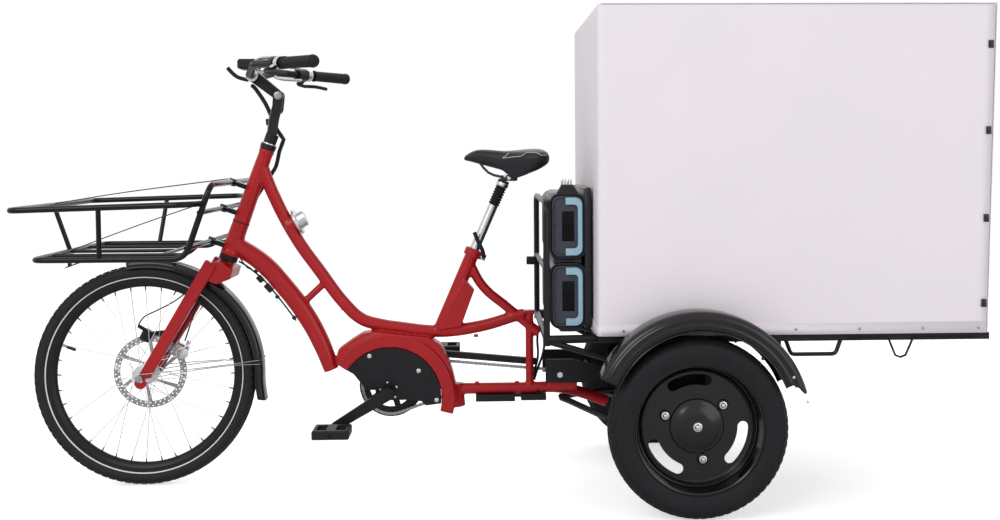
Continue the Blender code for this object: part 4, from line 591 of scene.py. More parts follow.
def makeRotor():
    middle = (axleX, wheelR)
    outlines = [circlePoints(middle, rotor["outer"], 120), circlePoints(middle, rotor["bore"], 24)]
    for row, radius in enumerate(rotor["rows"]):
        for index in range(rotor["holes"]):
            angle = 2 * math.pi * (index + row / 2) / rotor["holes"]
            place = (middle[0] + radius * math.cos(angle), middle[1] + radius * math.sin(angle))
            outlines.append(circlePoints(place, rotor["holeR"], 8))
    step = 360 / rotor["arms"]
    for index in range(rotor["arms"]):
        start = step * index
        outlines.append(arcPoints(middle, rotor["boss"], start + 8, start + step - 8, 6)
                        + arcPoints(middle, rotor["bandInner"], start + step + 26, start + 34, 12))
    bm = bmesh.new()
    addFlat(bm, outlines, rotor["y"], rotor["thick"])
    disc = makePiece("brakeRotor", bm, "front_wheel", brushedSteel)
    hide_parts("brake_disc")


makeRotor()

fenders = {
    "frontFenderRolled": {
        "body": "steering_fork", "node": "front_fender", "centre": (0.0085, 0.305), "y": 0.0,
        "radius": 0.3165,
        "half": 0.031, "lip": 0.019, "startDeg": -13, "sweepDeg": 113, "steps": 84, "ridges": (),
        "edgeSlip": 0, "flare": 0.015, "bead": 0.0013, "bossDeg": 57.9, "bossR": 0.3276,
    },
    "rearFenderLeft": {
        "body": "frame", "node": "rear_fender_left", "centre": (1.4674, 0.2461), "y": -0.4095,
        "radius": 0.271,
        "half": 0.046, "lip": 0.047, "startDeg": 15, "sweepDeg": 141, "steps": 96, "ridges": (0.36, 0.68),
        "edgeSlip": 7, "flare": 0.0, "bead": 0.0016, "armX": (1.302, 1.64),
        "screws": ((1.616, 0.403), (1.643, 0.388)),
    },
}
fenders["rearFenderRight"] = dict(fenders["rearFenderLeft"], node="rear_fender_right", y=0.4095)


# half of the pressed section, from the skirt's edge up to the crown, as (down from the crown, across)
def fenderSection(look):
    half, lip = look["half"], look["lip"]
    skirt = [(lip, half * 0.985)]
    for ridge in look["ridges"][::-1]:
        skirt += [(lip * (ridge + 0.05), half * 0.985), (lip * ridge, half),
                  (lip * (ridge - 0.05), half * 0.98)]
    corner = min(lip, 0.42 * half)
    for step in range(1, 9):
        angle = math.radians(10 * step)
        skirt.append((corner * (1 - math.sin(angle)), half * (0.5 + 0.475 * math.cos(angle) ** 0.8)))
    return [(-down, across) for down, across in skirt] + [(0.0004, half * 0.28)]


def makeFender(name, look):
    side = fenderSection(look)
    profile = side + [(0.0005, 0.0)] + [(r, -a) for r, a in reversed(side)]
    middle = at(look["centre"][0], look["y"], look["centre"][1])
    radius, lip, half = look["radius"], look["lip"], look["half"]
    first, sweep, slip = (math.radians(look[key]) for key in ("startDeg", "sweepDeg", "edgeSlip"))
    bm = bmesh.new()
    out = direction(look["startDeg"])
    verts = [bm.verts.new(middle + out * (radius + r) + Vector((0, a, 0))) for r, a in profile]
    line = [bm.edges.new(pair) for pair in zip(verts, verts[1:])]
    bmesh.ops.spin(bm, geom=verts + line, cent=middle, axis=(0, -1, 0), angle=sweep, steps=look["steps"])
    rolled = []
    for sign in (1, -1):
        ring = []
        for eighth in range(8):
            t = eighth * math.pi / 4
            reach = radius - lip + look["bead"] * math.cos(t)
            across = sign * half * 0.985 + look["bead"] * math.sin(t)
            ring.append(bm.verts.new(middle + out * reach + Vector((0, across, 0))))
        rolled.append(bm.faces.new(ring))
    beads = [part for face in rolled for part in (*face.verts, *face.edges, face)]
    bmesh.ops.spin(bm, geom=beads, cent=middle, axis=(0, -1, 0), angle=sweep, steps=look["steps"])
    for vert in bm.verts:  # the tail's slanted end and its outward flare
        out = vert.co - middle
        reach, turn = math.hypot(out.x, out.z), math.atan2(out.z, out.x)
        deep = min(1.0, max(0.0, (radius - reach) / lip * 3.0 - 0.6))
        turn = first + slip * deep + (turn - first) * (1 - slip * deep / sweep)
        past = max(0.0, (first + math.radians(11) - turn) / math.radians(11))
        reach += look["flare"] * past ** 1.7
        vert.co = middle + Vector((reach * math.cos(turn), out.y, reach * math.sin(turn)))
    fender = makePiece(name, bm, look["body"], blackLacquer, 28)
    thicken(fender, 0.0016)
    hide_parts(look["node"])
    brackets = bmesh.new()
    if "armX" in look:
        side = math.copysign(1, look["y"])
        for x in look["armX"]:
            addBlock(brackets, at(x, side * 0.3556, 0.436), (0.05, 0.021, 0.01), rim=0.0015)
        for x, z in look["screws"]:
            addDrum(brackets, at(x, side * 0.454, z), at(x, side * 0.4575, z), 0.0042, rim=0.001)
    else:
        boss = middle + direction(look["bossDeg"]) * look["bossR"]
        addBlock(brackets, boss, (0.024, 0.022, 0.0215),
                 turned(90 - look["bossDeg"], "Y"), 0.0015)
        for sign in (-1, 1):
            for z in (0.3325, 0.344):
                addDrum(brackets, at(0.319, sign * 0.0295, z), at(0.319, sign * 0.035, z), 0.0038,
                        rim=0.0008)
    makePiece(name + "Bracket", brackets, look["body"], blackPowder)


for name, look in fenders.items():
    makeFender(name, look)

# two steel wires hold the front fender's tail on each side
for word, side in leftRight:
    for number, start in enumerate(((0.0, 0.3155), (0.02, 0.303))):
        wire = makeCable("fenderStay" + word + str(number + 1), [
            at(start[0], side * 0.079, start[1]), at(0.12, side * 0.069, 0.325 - 0.004 * number),
            at(0.26, side * 0.044, 0.337 - 0.002 * number),
            at(0.319, side * 0.034, 0.344 - 0.0115 * number),
        ], 0.0013, "steering_fork", brushedSteel)
        if number == 0 and side < 0:
            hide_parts("fender_stay")
print("stage: rim, hub, brake disc and fenders made")

# frame and fork

# a plate with its outline in the XZ plane
def addPlate(bm, outline, y, thickness):
    verts = [bm.verts.new(at(x, y - thickness / 2, z)) for x, z in outline]
    face = bm.faces.new(verts)
    made = bmesh.ops.extrude_face_region(bm, geom=[face])["geom"]
    bmesh.ops.translate(bm, verts=[v for v in made if isinstance(v, bmesh.types.BMVert)],
                        vec=(0, thickness, 0))


# melts overlapping bodies into one skin and rounds their joints as weld and casting do
def meltTogether(name, bm, body, material, voxel, rounds):
    piece = makePiece(name, bm, body, material, 180)
    skin = piece.modifiers.new("skin", "REMESH")
    skin.mode = "VOXEL"
    skin.voxel_size = voxel
    soften = piece.modifiers.new("soften", "SMOOTH")
    soften.factor = 0.5
    soften.iterations = rounds
    mesh = bpy.data.meshes.new_from_object(piece.evaluated_get(bpy.context.evaluated_depsgraph_get()))
    piece.modifiers.clear()
    rough, piece.data = piece.data, mesh
    bpy.data.meshes.remove(rough)
    mesh.materials.clear()
    mesh.materials.append(material)
    mesh.shade_smooth()
    return piece


# cuts bores out of a melted piece, as a drill does
def drillOut(piece, bm):
    bits = bpy.data.meshes.new("bits")
    bm.to_mesh(bits)
    bm.free()
    bit = bpy.data.objects.new("bits", bits)
    bpy.context.scene.collection.objects.link(bit)
    cut = piece.modifiers.new("bores", "BOOLEAN")
    cut.operation = "DIFFERENCE"
    cut.solver = "EXACT"
    cut.object = bit
    mesh = bpy.data.meshes.new_from_object(piece.evaluated_get(bpy.context.evaluated_depsgraph_get()))
    piece.modifiers.clear()
    old, piece.data = piece.data, mesh
    bpy.data.meshes.remove(old)
    bpy.data.objects.remove(bit)
    bpy.data.meshes.remove(bits)
    mesh.set_sharp_from_angle(angle=math.radians(50))


trikeFrame = {
    "voxel": 0.0028, "rounds": 3, "motor": (0.675, 0.232), "archInner": 0.1426, "archOuter": 0.179,
    "dialDeg": 26.9,
    "upper": ((0.352, 0.8), (0.417, 0.675), (0.478, 0.588), (0.555, 0.486), (0.5962, 0.45), (0.645, 0.4345),
              (0.7016, 0.425), (0.8129, 0.414), (0.9247, 0.4268), (1.0227, 0.4538), (1.048, 0.461)),
    "down": ((0.325, 0.606), (0.378, 0.548), (0.44, 0.465), (0.484, 0.383), (0.5116, 0.31)),
    "stay": ((0.932, 0.54), (1.0, 0.48), (1.063, 0.428), (1.09, 0.4065)),
    "lower": ((0.85, 0.253), (1.05, 0.253), (1.15, 0.2525), (1.205, 0.239), (1.28, 0.212)),
    "shellEdge": ((0.816, 0.379), (0.7864, 0.3985), (0.7038, 0.41), (0.635, 0.418), (0.5993, 0.414),
                  (0.57, 0.396), (0.5331, 0.37), (0.525, 0.34)),
    "rightEdge": ((0.8626, 0.2138), (0.86, 0.248), (0.8547, 0.2775), (0.848, 0.305), (0.8384, 0.333)),
}


def makeTrikeFrame():
    look = trikeFrame
    bm = bmesh.new()
    addDrum(bm, steerAt(0.0205), steerAt(0.332), 0.025, endRadius=0.0192, sides=40)
    addDrum(bm, steerAt(0.0205), steerAt(0.033), 0.0266, sides=40)
    addDrum(bm, steerAt(0.321), steerAt(0.332), 0.0212, sides=40)
    upper = [steerAt(0.285)] + [at(x, 0, z) for x, z in look["upper"]]
    addTube(bm, upper, [0.0175] * 8 + [0.0172, 0.0166, 0.0158, 0.015])
    addTube(bm, [steerAt(0.055)] + [at(x, 0, z) for x, z in look["down"]],
            [0.025, 0.0265, 0.0265, 0.0265, 0.025, 0.0215])
    addDrum(bm, at(0.425, 0, 0.488), at(0.5, 0, 0.558), 0.01, sides=24)
    middle = look["motor"]
    arch = arcPoints(middle, look["archOuter"], -14, 146, 40)
    addPlate(bm, arch + arcPoints(middle, look["archInner"], 146, -14, 40), 0.0, 0.074)
    shell = list(look["shellEdge"]) + arcPoints(middle, 0.15, 142, -6, 40) + list(look["rightEdge"])
    addPlate(bm, shell, 0.0, 0.06)
    addDrum(bm, at(0.856, 0, 0.268), at(0.8625, 0, 0.204), 0.0205, sides=32)
    addDrum(bm, seatAt(-0.256), seatAt(0.0), 0.019, sides=36)
    housing = ((0.806, 0.42), (0.872, 0.428), (0.9096, 0.5293), (0.883, 0.56))
    addPlate(bm, housing, 0.0, 0.045)
    addTube(bm, [seatAt(-0.04)] + [at(x, 0, z) for x, z in look["stay"]], [0.0135] * 5)
    addTube(bm, [at(x, 0, z) for x, z in look["lower"]], [0.0155] * 5)
    addDrum(bm, at(1.063, 0, 0.253), at(1.063, 0, 0.465), 0.0112, sides=28)
    addBlock(bm, at(1.063, 0, 0.466), (0.028, 0.028, 0.01))
    out = direction(look["dialDeg"])
    addDrum(bm, at(0.416, 0, 0.721) - out * 0.03, at(0.416, 0, 0.721), 0.0225, sides=32)
    addBlock(bm, at(1.155, -0.035, 0.288), (0.07, 0.086, 0.056))
    welded = meltTogether("mainFrameWelded", bm, "frame", redEnamel, look["voxel"], look["rounds"])
    bores = bmesh.new()
    addDrum(bores, seatAt(-0.25), seatAt(0.02), 0.0142, sides=48)
    addDrum(bores, steerAt(0.0), steerAt(0.35), 0.0146, sides=48)
    drillOut(welded, bores)
    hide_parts("main_frame")
    web = bmesh.new()
    addPlate(web, arcPoints(middle, 0.144, 10, 146, 30) + [(0.575, 0.301), (0.61, 0.257)], -0.0265, 0.0045)
    makePiece("motorWeb", web, "frame", blackPowder)


makeTrikeFrame()

# fork: a cast crown with two tapered legs
forkShape = {
    "voxel": 0.0024, "rounds": 3, "legY": 0.061, "legTop": (0.188, 0.605), "legFoot": (0.002, 0.29),
    "crown": ((0.176, 0.576), (0.1785, 0.59), (0.1976, 0.617), (0.212, 0.6175), (0.2245, 0.617),
              (0.233, 0.606), (0.2514, 0.596), (0.244, 0.57), (0.208, 0.556), (0.19, 0.562)),
}


def makeForkShape():
    look = forkShape
    bm = bmesh.new()
    addPlate(bm, look["crown"], 0.0, 0.128)
    addDrum(bm, steerAt(-0.018), steerAt(0.006), 0.0215, sides=32)
    top, foot = Vector(look["legTop"]), Vector(look["legFoot"])
    down = (foot - top).normalized()
    side = Vector((-down.y, down.x))
    for sign in (-1, 1):
        for start, end, wide, thick in ((-0.012, 0.18, 0.0172, 0.022), (0.14, 0.31, 0.0166, 0.0205),
                                        (0.27, 0.372, 0.0158, 0.02)):
            corners = [top + down * start + side * wide, top + down * end + side * (wide - 0.001),
                       top + down * end - side * (wide - 0.001), top + down * start - side * wide]
            addPlate(bm, [tuple(c) for c in corners], sign * look["legY"], thick)
        addDrum(bm, at(foot.x, sign * (look["legY"] - 0.01), foot.y),
                at(foot.x, sign * (look["legY"] + 0.01), foot.y), 0.016, sides=28)
    cast = meltTogether("forkCast", bm, "steering_fork", redEnamel, look["voxel"], look["rounds"])
    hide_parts("fork")
    stem = bmesh.new()
    addDrum(stem, steerAt(0.0), steerAt(0.345), 0.014, sides=28)
    makePiece("steererTube", stem, "steering_fork", blackPowder)


makeForkShape()
print("stage: frame and fork made")

# front basket: bent steel tube with the corners rounded, powder coated

basket = {
    "frontX": -0.25, "topZ": 0.78, "lowZ": 0.645, "topY": 0.342, "lowY": 0.295, "tube": 0.0078,
    "sideIn": 0.045,
    "away": 0.06, "hoopTop": 0.214, "lowBar": 0.138, "floorBar": 0.042, "barY": 0.15, "shortX": 0.085,
}


# swaps each inner corner of a path for an arc
def roundedPath(points, reach, closed=False):
    points = [Vector(p) for p in points]
    count = len(points)
    path = []
    for index, corner in enumerate(points):
        if not closed and index in (0, count - 1):
            path.append(corner)
            continue
        before, after = points[index - 1], points[(index + 1) % count]
        cut = min(reach, (before - corner).length * 0.45, (after - corner).length * 0.45)
        start = corner + (before - corner).normalized() * cut
        end = corner + (after - corner).normalized() * cut
        for step in range(9):
            t = step / 8
            path.append(start * (1 - t) ** 2 + corner * 2 * t * (1 - t) + end * t ** 2)
    return path


def makeBasket():
    b = basket
    bm = bmesh.new()
    front, lowFront = b["frontX"], b["frontX"] + b["sideIn"]
    top, low, topY, lowY = b["topZ"], b["lowZ"], b["topY"], b["lowY"]
    leg = steerAt(0.16, b["away"])
    hoop = steerAt(b["hoopTop"], b["away"])
    rear = steerAt(0.03, b["away"])
    rail = [Vector((leg.x, -lowY + 0.01, top + 0.006)), Vector((leg.x - 0.03, -topY, top + 0.005)),
            at(front, -topY, top - 0.007), at(front, topY, top - 0.007),
            Vector((leg.x - 0.03, topY, top + 0.005)), Vector((leg.x, lowY - 0.01, top + 0.006))]
    addPipe(bm, roundedPath(rail, 0.032), b["tube"])
    hoopPath = [Vector((hoop.x, -lowY + 0.012, hoop.z)), Vector((rear.x, -lowY, low)),
                at(lowFront, -lowY, low),
                at(lowFront, lowY, low), Vector((rear.x, lowY, low)),
                Vector((hoop.x, lowY - 0.012, hoop.z))]
    addPipe(bm, roundedPath(hoopPath, 0.034, closed=True), b["tube"], closed=True)
    for side in (-1, 1):
        addPipe(bm, [at(-0.025, side * topY, top), at(-0.037, side * lowY, low)], b["tube"] * 0.82)
        floor = [at(lowFront, side * b["barY"], low), at(0.15, side * b["barY"], low),
                 steerAt(b["floorBar"], b["away"], side * b["barY"])]
        addPipe(bm, roundedPath(floor, 0.02), 0.005)
    addPipe(bm, [at(front, 0, top - 0.007), at(lowFront, 0, low)], b["tube"] * 0.82)
    addPipe(bm, [at(lowFront, 0, low), at(b["shortX"], 0, low)], 0.005)
    addPipe(bm, [at(b["shortX"], -b["barY"], low), at(b["shortX"], b["barY"], low)], 0.005)
    for along in (b["lowBar"], b["floorBar"]):
        addPipe(bm, [steerAt(along, b["away"], -lowY), steerAt(along, b["away"], lowY)], b["tube"] * 0.88)
    turn = Matrix.Rotation(lean, 4, "Y")
    for along in (b["hoopTop"], b["lowBar"], b["floorBar"]):
        addBlock(bm, steerAt(along, b["away"] / 2 + 0.01), (b["away"] * 0.72, 0.026, 0.013), turn, 0.002)
        addDrum(bm, steerAt(along - 0.01, b["away"], 0), steerAt(along + 0.01, b["away"], 0), 0.0105,
                rim=0.0015)
    plate = turned(-20, "Y")
    addBlock(bm, at(lowFront + 0.012, 0, low - 0.036), (0.046, 0.036, 0.003), plate, 0.0008)
    addBlock(bm, at(lowFront - 0.002, 0, low - 0.018), (0.003, 0.03, 0.044), None, 0.0008)
    tubes = makePiece("basketTubes", bm, "frame", wetBlack, 40)
    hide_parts("basket")


makeBasket()
print("stage: basket made")

# rear wheels

rearTyre = {
    "steps": 120, "half": 0.0425, "treadR": 0.2228, "topR": 0.2254, "rimR": 0.1603, "blocks": 66,
    "rows": ((0.0, 0.015, 0.013, 0.0), (0.0185, 0.0125, 0.013, 14.0), (0.0345, 0.011, 0.013, 38.0)),
}


def makeRearTyre(word, side):
    centre = at(rearAxle[0], side * rearAxle[1], rearWheelR)
    top, w = rearTyre["treadR"], rearTyre["half"]
    half = [(top, 0.012), (top - 0.0015, 0.022), (top - 0.006, 0.0325), (top - 0.013, 0.0392),
            (top - 0.025, w), (top - 0.038, 0.0418), (top - 0.05, 0.039),
            (rearTyre["rimR"] + 0.0045, 0.0362), (rearTyre["rimR"] + 0.0015, 0.0375),
            (rearTyre["rimR"], 0.034)]
    bm = bmesh.new()
    spinProfile(bm, bothHalves(half), centre, rearTyre["steps"])
    for across, wide, long, tipDeg in rearTyre["rows"]:
        for sign in ((1,) if across == 0 else (1, -1)):
            drop = 0.0006 + 0.0105 * (across / 0.0345) ** 2.6
            stagger = turned(180 / rearTyre["blocks"] * (across == 0.0185), "Y")
            tip = turned(-sign * tipDeg, "X")
            slant = turned(sign * 12 * (across != 0), "Z")
            place = Matrix.Translation((0, sign * across, rearTyre["topR"] - 0.0022 - drop))
            shape = Matrix.Translation(centre) @ stagger @ place @ tip @ slant
            made = bmesh.ops.create_cube(bm, size=1,
                                         matrix=shape @ Matrix.Diagonal((long, wide, 0.0046, 1)))
            repeatRound(bm, made["verts"], centre, rearTyre["blocks"])
    tyre = makePiece("rearTyre" + word, bm, "wheel_" + word.lower(), rearTyreRubber)
    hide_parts("rear_tyre_" + word.lower())


rearWheel = {
    "face": -0.015, "sheet": 0.004, "discR": 0.1335, "boreR": 0.01, "slotR": 0.1165, "slotHalf": 0.0135,
    "slots": (224.5, 337, 99), "slotTurnDeg": 21.5, "bolts": (161, 38, -80), "boltCircle": 0.084,
    "rivets": (146, 60, 41, 285, 268, 168), "rivetCircle": 0.113,
    "rim": ((0.16, 0.035), (0.16, -0.035), (0.156, -0.035), (0.15, -0.021), (0.132, -0.02),
            (0.132, -0.0152), (0.136, -0.015), (0.1385, -0.0122), (0.1402, -0.0108), (0.142, -0.012),
            (0.144, -0.0145), (0.146, -0.0128), (0.1476, -0.007), (0.1492, -0.0062), (0.1502, 0.001),
            (0.152, 0.015), (0.1545, 0.0215), (0.1552, 0.029), (0.1562, 0.033)),
    "boss": ((0.0095, -0.0152), (0.0095, 0.0004), (0.03, 0.0002), (0.042, -0.0022), (0.054, -0.0072),
             (0.061, -0.0112), (0.066, -0.0118), (0.069, -0.0152)),
}


def slotOutline(centre, middleDeg):
    r, w, turn = rearWheel["slotR"], rearWheel["slotHalf"], rearWheel["slotTurnDeg"]
    low, high = middleDeg - turn, middleDeg + turn
    ends = [(centre[0] + r * math.cos(math.radians(a)), centre[1] + r * math.sin(math.radians(a)))
            for a in (low, high)]
    return (arcPoints(centre, r + w, low, high, 12) + arcPoints(ends[1], w, high, high + 180, 8)
            + arcPoints(centre, r - w, high, low, 12) + arcPoints(ends[0], w, low + 180, low + 360, 8))


def makeRearWheelTrim(word, side):
    centre = at(rearAxle[0], side * rearAxle[1], rearWheelR)
    body = "wheel_" + word.lower()
    middle = (rearAxle[0] + axleX, rearWheelR)
    plane = centre + Vector((0, side * rearWheel["face"], 0))
    outward = Vector((0, side, 0))
    outlines = [circlePoints(middle, rearWheel["discR"], 120), circlePoints(middle, rearWheel["boreR"], 24)]
    outlines += [slotOutline(middle, deg) for deg in rearWheel["slots"]]
    wheel = bmesh.new()
    addFlat(wheel, outlines, plane.y - side * rearWheel["sheet"] / 2, rearWheel["sheet"])
    for profile in (rearWheel["rim"], rearWheel["boss"]):
        spinProfile(wheel, [(r, side * a) for r, a in profile], centre, 112)
    addDrum(wheel, plane - outward * 0.02, plane - outward * 0.0045, 0.08, endRadius=0.094, sides=64,
            rim=0.002)
    for deg in rearWheel["bolts"]:  # raised pads under the bolts
        spot = plane + direction(deg) * rearWheel["boltCircle"]
        addDrum(wheel, spot - outward * 0.002, spot + outward * 0.0044, 0.016, endRadius=0.0118, sides=28,
                rim=0.001)
    pressed = makePiece("pressedWheel" + word, wheel, body, blackLacquer, 30)
    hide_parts("rear_wheel_" + word.lower())
    bright = bmesh.new()
    for deg in rearWheel["bolts"]:
        spot = plane + direction(deg) * rearWheel["boltCircle"]
        addDrum(bright, spot + outward * 0.004, spot + outward * 0.0078, 0.0098, rim=0.001)
        addDrum(bright, spot + outward * 0.0075, spot + outward * 0.0135, 0.0072, endRadius=0.0045,
                rim=0.0012)
    addDrum(bright, plane + outward * 0.015, plane + outward * 0.018, 0.0115, rim=0.0008)
    addDrum(bright, plane + outward * 0.0178, plane + outward * 0.026, 0.0085, endRadius=0.006, rim=0.0015)
    makePiece("wheelBolts" + word, bright, body, brightAluminium)
    dark = bmesh.new()
    for deg in rearWheel["rivets"]:
        spot = plane + direction(deg) * rearWheel["rivetCircle"]
        addDrum(dark, spot - outward * 0.001, spot + outward * 0.0022, 0.0035, rim=0.0008)
    makePiece("wheelRivets" + word, dark, body, darkSteel)


for word, side in leftRight:
    makeRearTyre(word, side)
    makeRearWheelTrim(word, side)
print("stage: rear wheels made")

# tarpaulin

cover = {"front": 1.2213, "rear": 2.2105, "length": 0.993, "half": 0.36, "low": 0.447, "high": 1.2873,
         "lean": 0.031, "corner": 0.014, "thick": 0.0016, "flapX": 2.2141, "slack": 0.0026}


def leanBack(place):
    up = (place.z - cover["low"]) / (cover["high"] - cover["low"])
    along = max(0.0, (place.x - axleX - cover["front"]) / cover["length"])
    return cover["lean"] * up * along ** 6


# how far the cloth draws in at a place on a wall: shallow bellies, drag folds from the corners
def drawIn(across, up):
    belly = cover["slack"] * math.sin(math.pi * up) * math.sin(math.pi * min(1, max(0, across))) ** 0.7
    low = max(0.0, 1 - math.hypot((1 - across) / 0.3, up / 0.3))
    folds = 0.0016 * low * math.sin(2 * math.pi * ((1 - across) * 9 + up * 5))
    soft = 0.0012 * noise.noise(Vector((across * 3.1, up * 2.7, 1.7)))
    return belly + folds + soft


# cloth walls of a box, open to the rear and below, with rounded edges
def addWalls(bm, middle, size, topless=False):
    bmesh.ops.create_cube(bm, size=1, matrix=Matrix.Translation(middle) @ Matrix.Diagonal((*size, 1)))
    away = [f for f in bm.faces if f.normal.x > 0.5 or f.normal.z < -0.5 or topless and f.normal.z > 0.5]
    bmesh.ops.delete(bm, geom=away, context="FACES")
    roundOff(bm, [e for e in bm.edges if len(e.link_faces) == 2], cover["corner"], 4)


def makeTarpaulinCover():
    low, high, half = cover["low"], cover["high"], cover["half"]
    size = Vector((cover["rear"] - cover["front"], 2 * half, high - low))
    middle = at((cover["rear"] + cover["front"]) / 2, 0, (low + high) / 2)
    bm = bmesh.new()
    addWalls(bm, middle, size)
    for axis, count in ((0, 40), (1, 28), (2, 34)):
        normal = [0, 0, 0]
        normal[axis] = 1
        for step in range(1, count):
            spot = middle.copy()
            spot[axis] += size[axis] * (step / count - 0.5)
            bmesh.ops.bisect_plane(bm, geom=list(bm.verts) + list(bm.edges) + list(bm.faces), plane_co=spot,
                                   plane_no=normal, dist=0.0004)
    for vert in bm.verts:
        up = (vert.co.z - low) / (high - low)
        along = (vert.co.x - axleX - cover["front"]) / size.x
        over = (vert.co.y / half + 1) / 2
        inner = half - cover["corner"] - 0.001
        if abs(vert.co.y) > half - 0.001:
            vert.co.y -= math.copysign(drawIn(along, up), vert.co.y)
        elif vert.co.z > high - 0.001:
            vert.co.z -= 0.4 * drawIn(along, over)
        elif along < 0.002 and abs(vert.co.y) < inner:
            vert.co.x += 0.8 * drawIn(over, up)
        vert.co.x += leanBack(vert.co)
    cloth = makePiece("tarpaulinCover", bm, "frame", tarpaulinCloth, 60)
    area = sum(face.area for face in cloth.data.polygons)
    if max(cloth.data.polygons, key=lambda face: face.center.z).normal.z < 0:
        cloth.data.flip_normals()
    thicken(cloth, cover["thick"], -1.0)
    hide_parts("tarpaulin")
    return cloth, area


def makeRearFlap():
    low, high, half = cover["low"] + 0.002, cover["high"] - 0.001, cover["half"] - 0.0012
    bm = bmesh.new()
    bmesh.ops.create_grid(bm, x_segments=30, y_segments=34, size=0.5)
    place = Matrix.Translation(at(cover["flapX"], 0, (low + high) / 2))
    stretch = Matrix.Diagonal((1, 2 * half, high - low, 1))
    bmesh.ops.transform(bm, verts=bm.verts, matrix=place @ stretch @ turned(90, "Y"))
    for vert in bm.verts:
        up = (vert.co.z - low) / (high - low)
        over = (vert.co.y / half + 1) / 2
        inside = min(1, 8 * min(up, 1 - up, over, 1 - over))
        pucker = 0.0009 * inside * (1 + math.sin(2 * math.pi * 3 * over + 2.0 * up)
                                    * math.cos(2 * math.pi * up))
        vert.co.x += cover["lean"] * up - pucker
    flap = makePiece("rearFlapCloth", bm, "flap", tarpaulinCloth, 60)
    area = sum(face.area for face in flap.data.polygons)
    if flap.data.polygons[0].normal.x < 0:
        flap.data.flip_normals()
    thicken(flap, cover["thick"], -1.0)
    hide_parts("rear_flap")
    return flap, area


paleWebbing = makeSurface("pinkBrownPiping", {
    "colour": "#BBA6B0", "second": "#AE98A4", "roughness": 0.55, "patchMm": 30, "grainMm": 1.5,
    "grain": 0.2,
    "depthMm": 0.2,
})[0]


def makeCoverTrim():
    low, high, half = cover["low"], cover["high"], cover["half"]
    piping = []
    for word, side in leftRight:
        line = []
        for step in range(13):
            spot = at(cover["front"] + 0.012 + (cover["rear"] - cover["front"] - 0.014) * step / 12,
                      side * (half - 0.0042), high - 0.0042)
            spot.x += leanBack(spot)
            line.append(spot)
        piping.append(makeCable("topPiping" + word, line, 0.0016, "frame", paleWebbing))
    hem = bmesh.new()
    size = (cover["rear"] - cover["front"] + 0.0012, 2 * half + 0.0014, 0.028)
    addWalls(hem, at((cover["rear"] + cover["front"]) / 2 - 0.0006, 0, low + size[2] / 2), size,
             topless=True)
    band = makePiece("tarpaulinHem", hem, "frame", tarpaulinCloth, 60)
    thicken(band, 0.0016)
    studs = bmesh.new()
    for x in (1.285, 1.42, 1.57, 1.7227, 1.885, 2.047, 2.19):
        for side in (-1, 1):
            spot = at(x, side * (half - 0.0005), 0.46)
            addDrum(studs, spot, spot + Vector((0, side * 0.0034, 0)), 0.0046, endRadius=0.0036, rim=0.0008)
    pins = makePiece("hemStuds", studs, "frame", brushedSteel)
    locks = bmesh.new()
    for z in (0.522, 0.738, 0.961, 1.18):
        for side in (-1, 1):
            spot = at(2.202, side * (half + 0.0014), z)
            spot.x += leanBack(spot)
            addBlock(locks, spot, (0.013, 0.004, 0.02), rim=0.001)
            addDrum(locks, spot, spot + Vector((0, side * 0.005, 0)), 0.0034, rim=0.0006)
    keepers = makePiece("flapLocks", locks, "frame", darkSteel)
    return piping + [band, pins, keepers]


coverCloth, coverArea = makeTarpaulinCover()
flapCloth, flapArea = makeRearFlap()
coverTrim = makeCoverTrim()
# the cover is cut from one cross-shaped piece: its top, two sides and front
print("stage: tarpaulin made, cloth", round(coverArea, 3), "and", round(flapArea, 3), "square metres")

# seat

# place along the saddle, half width, underside, top, and how far the side skirt hangs below
saddle = {
    "sections": (
        (0.883, 0.012, 0.8915, 0.899, 0.0), (0.8875, 0.018, 0.8895, 0.904, 0.0),
        (0.895, 0.0215, 0.888, 0.9095, 0.0), (0.908, 0.024, 0.8846, 0.9165, 0.0),
        (0.92, 0.0255, 0.8808, 0.9205, 0.0), (0.94, 0.027, 0.8757, 0.9206, 0.0),
        (0.96, 0.0295, 0.87, 0.9194, 0.0005), (0.98, 0.035, 0.8645, 0.9182, 0.0025),
        (0.992, 0.041, 0.861, 0.9176, 0.007), (1.0, 0.045, 0.8585, 0.9173, 0.013),
        (1.012, 0.054, 0.857, 0.9182, 0.0215), (1.02, 0.06, 0.8562, 0.9188, 0.0218),
        (1.04, 0.0775, 0.8572, 0.9205, 0.0175), (1.06, 0.0895, 0.86, 0.9222, 0.0145),
        (1.08, 0.0955, 0.865, 0.923, 0.0115), (1.095, 0.096, 0.87, 0.9222, 0.0085),
        (1.106, 0.09, 0.875, 0.918, 0.0055), (1.114, 0.078, 0.88, 0.912, 0.0035),
        (1.1185, 0.06, 0.884, 0.905, 0.0),
    ),
    "around": 40,
    "piping": ((1.007, 0.9115), (0.9893, 0.8968), (1.024, 0.9015), (1.0382, 0.9023), (1.0557, 0.913),
               (1.0811, 0.9125), (1.0948, 0.9042), (1.112, 0.905)),
}


def saddleRing(index, section):
    x, half, low, high, drop = section
    angle = 2 * math.pi * index / saddle["around"]
    c, s = math.cos(angle), math.sin(angle)
    middle = (low + high) / 2
    y = half * math.copysign(abs(c) ** 0.72, c) * (1.0 - 0.14 * max(0, -s))
    crown = 1.0 if s < 0 else 1.0 - 0.14 * abs(c) ** 1.5
    z = middle + (high - low) / 2 * math.copysign(abs(s) ** 0.7, s) * crown
    groove = 0.0035 * math.exp(-(y / 0.01) ** 2) * (s > 0.2) * min(1, max(0, (x - 0.965) / 0.05))
    edge = min(1.0, max(0.0, (abs(y) / half - 0.45) / 0.25))
    skirt = drop * edge * edge * (3 - 2 * edge) * min(1.0, max(0.0, -s * 2.2))
    return at(x, y, z - groove - skirt)


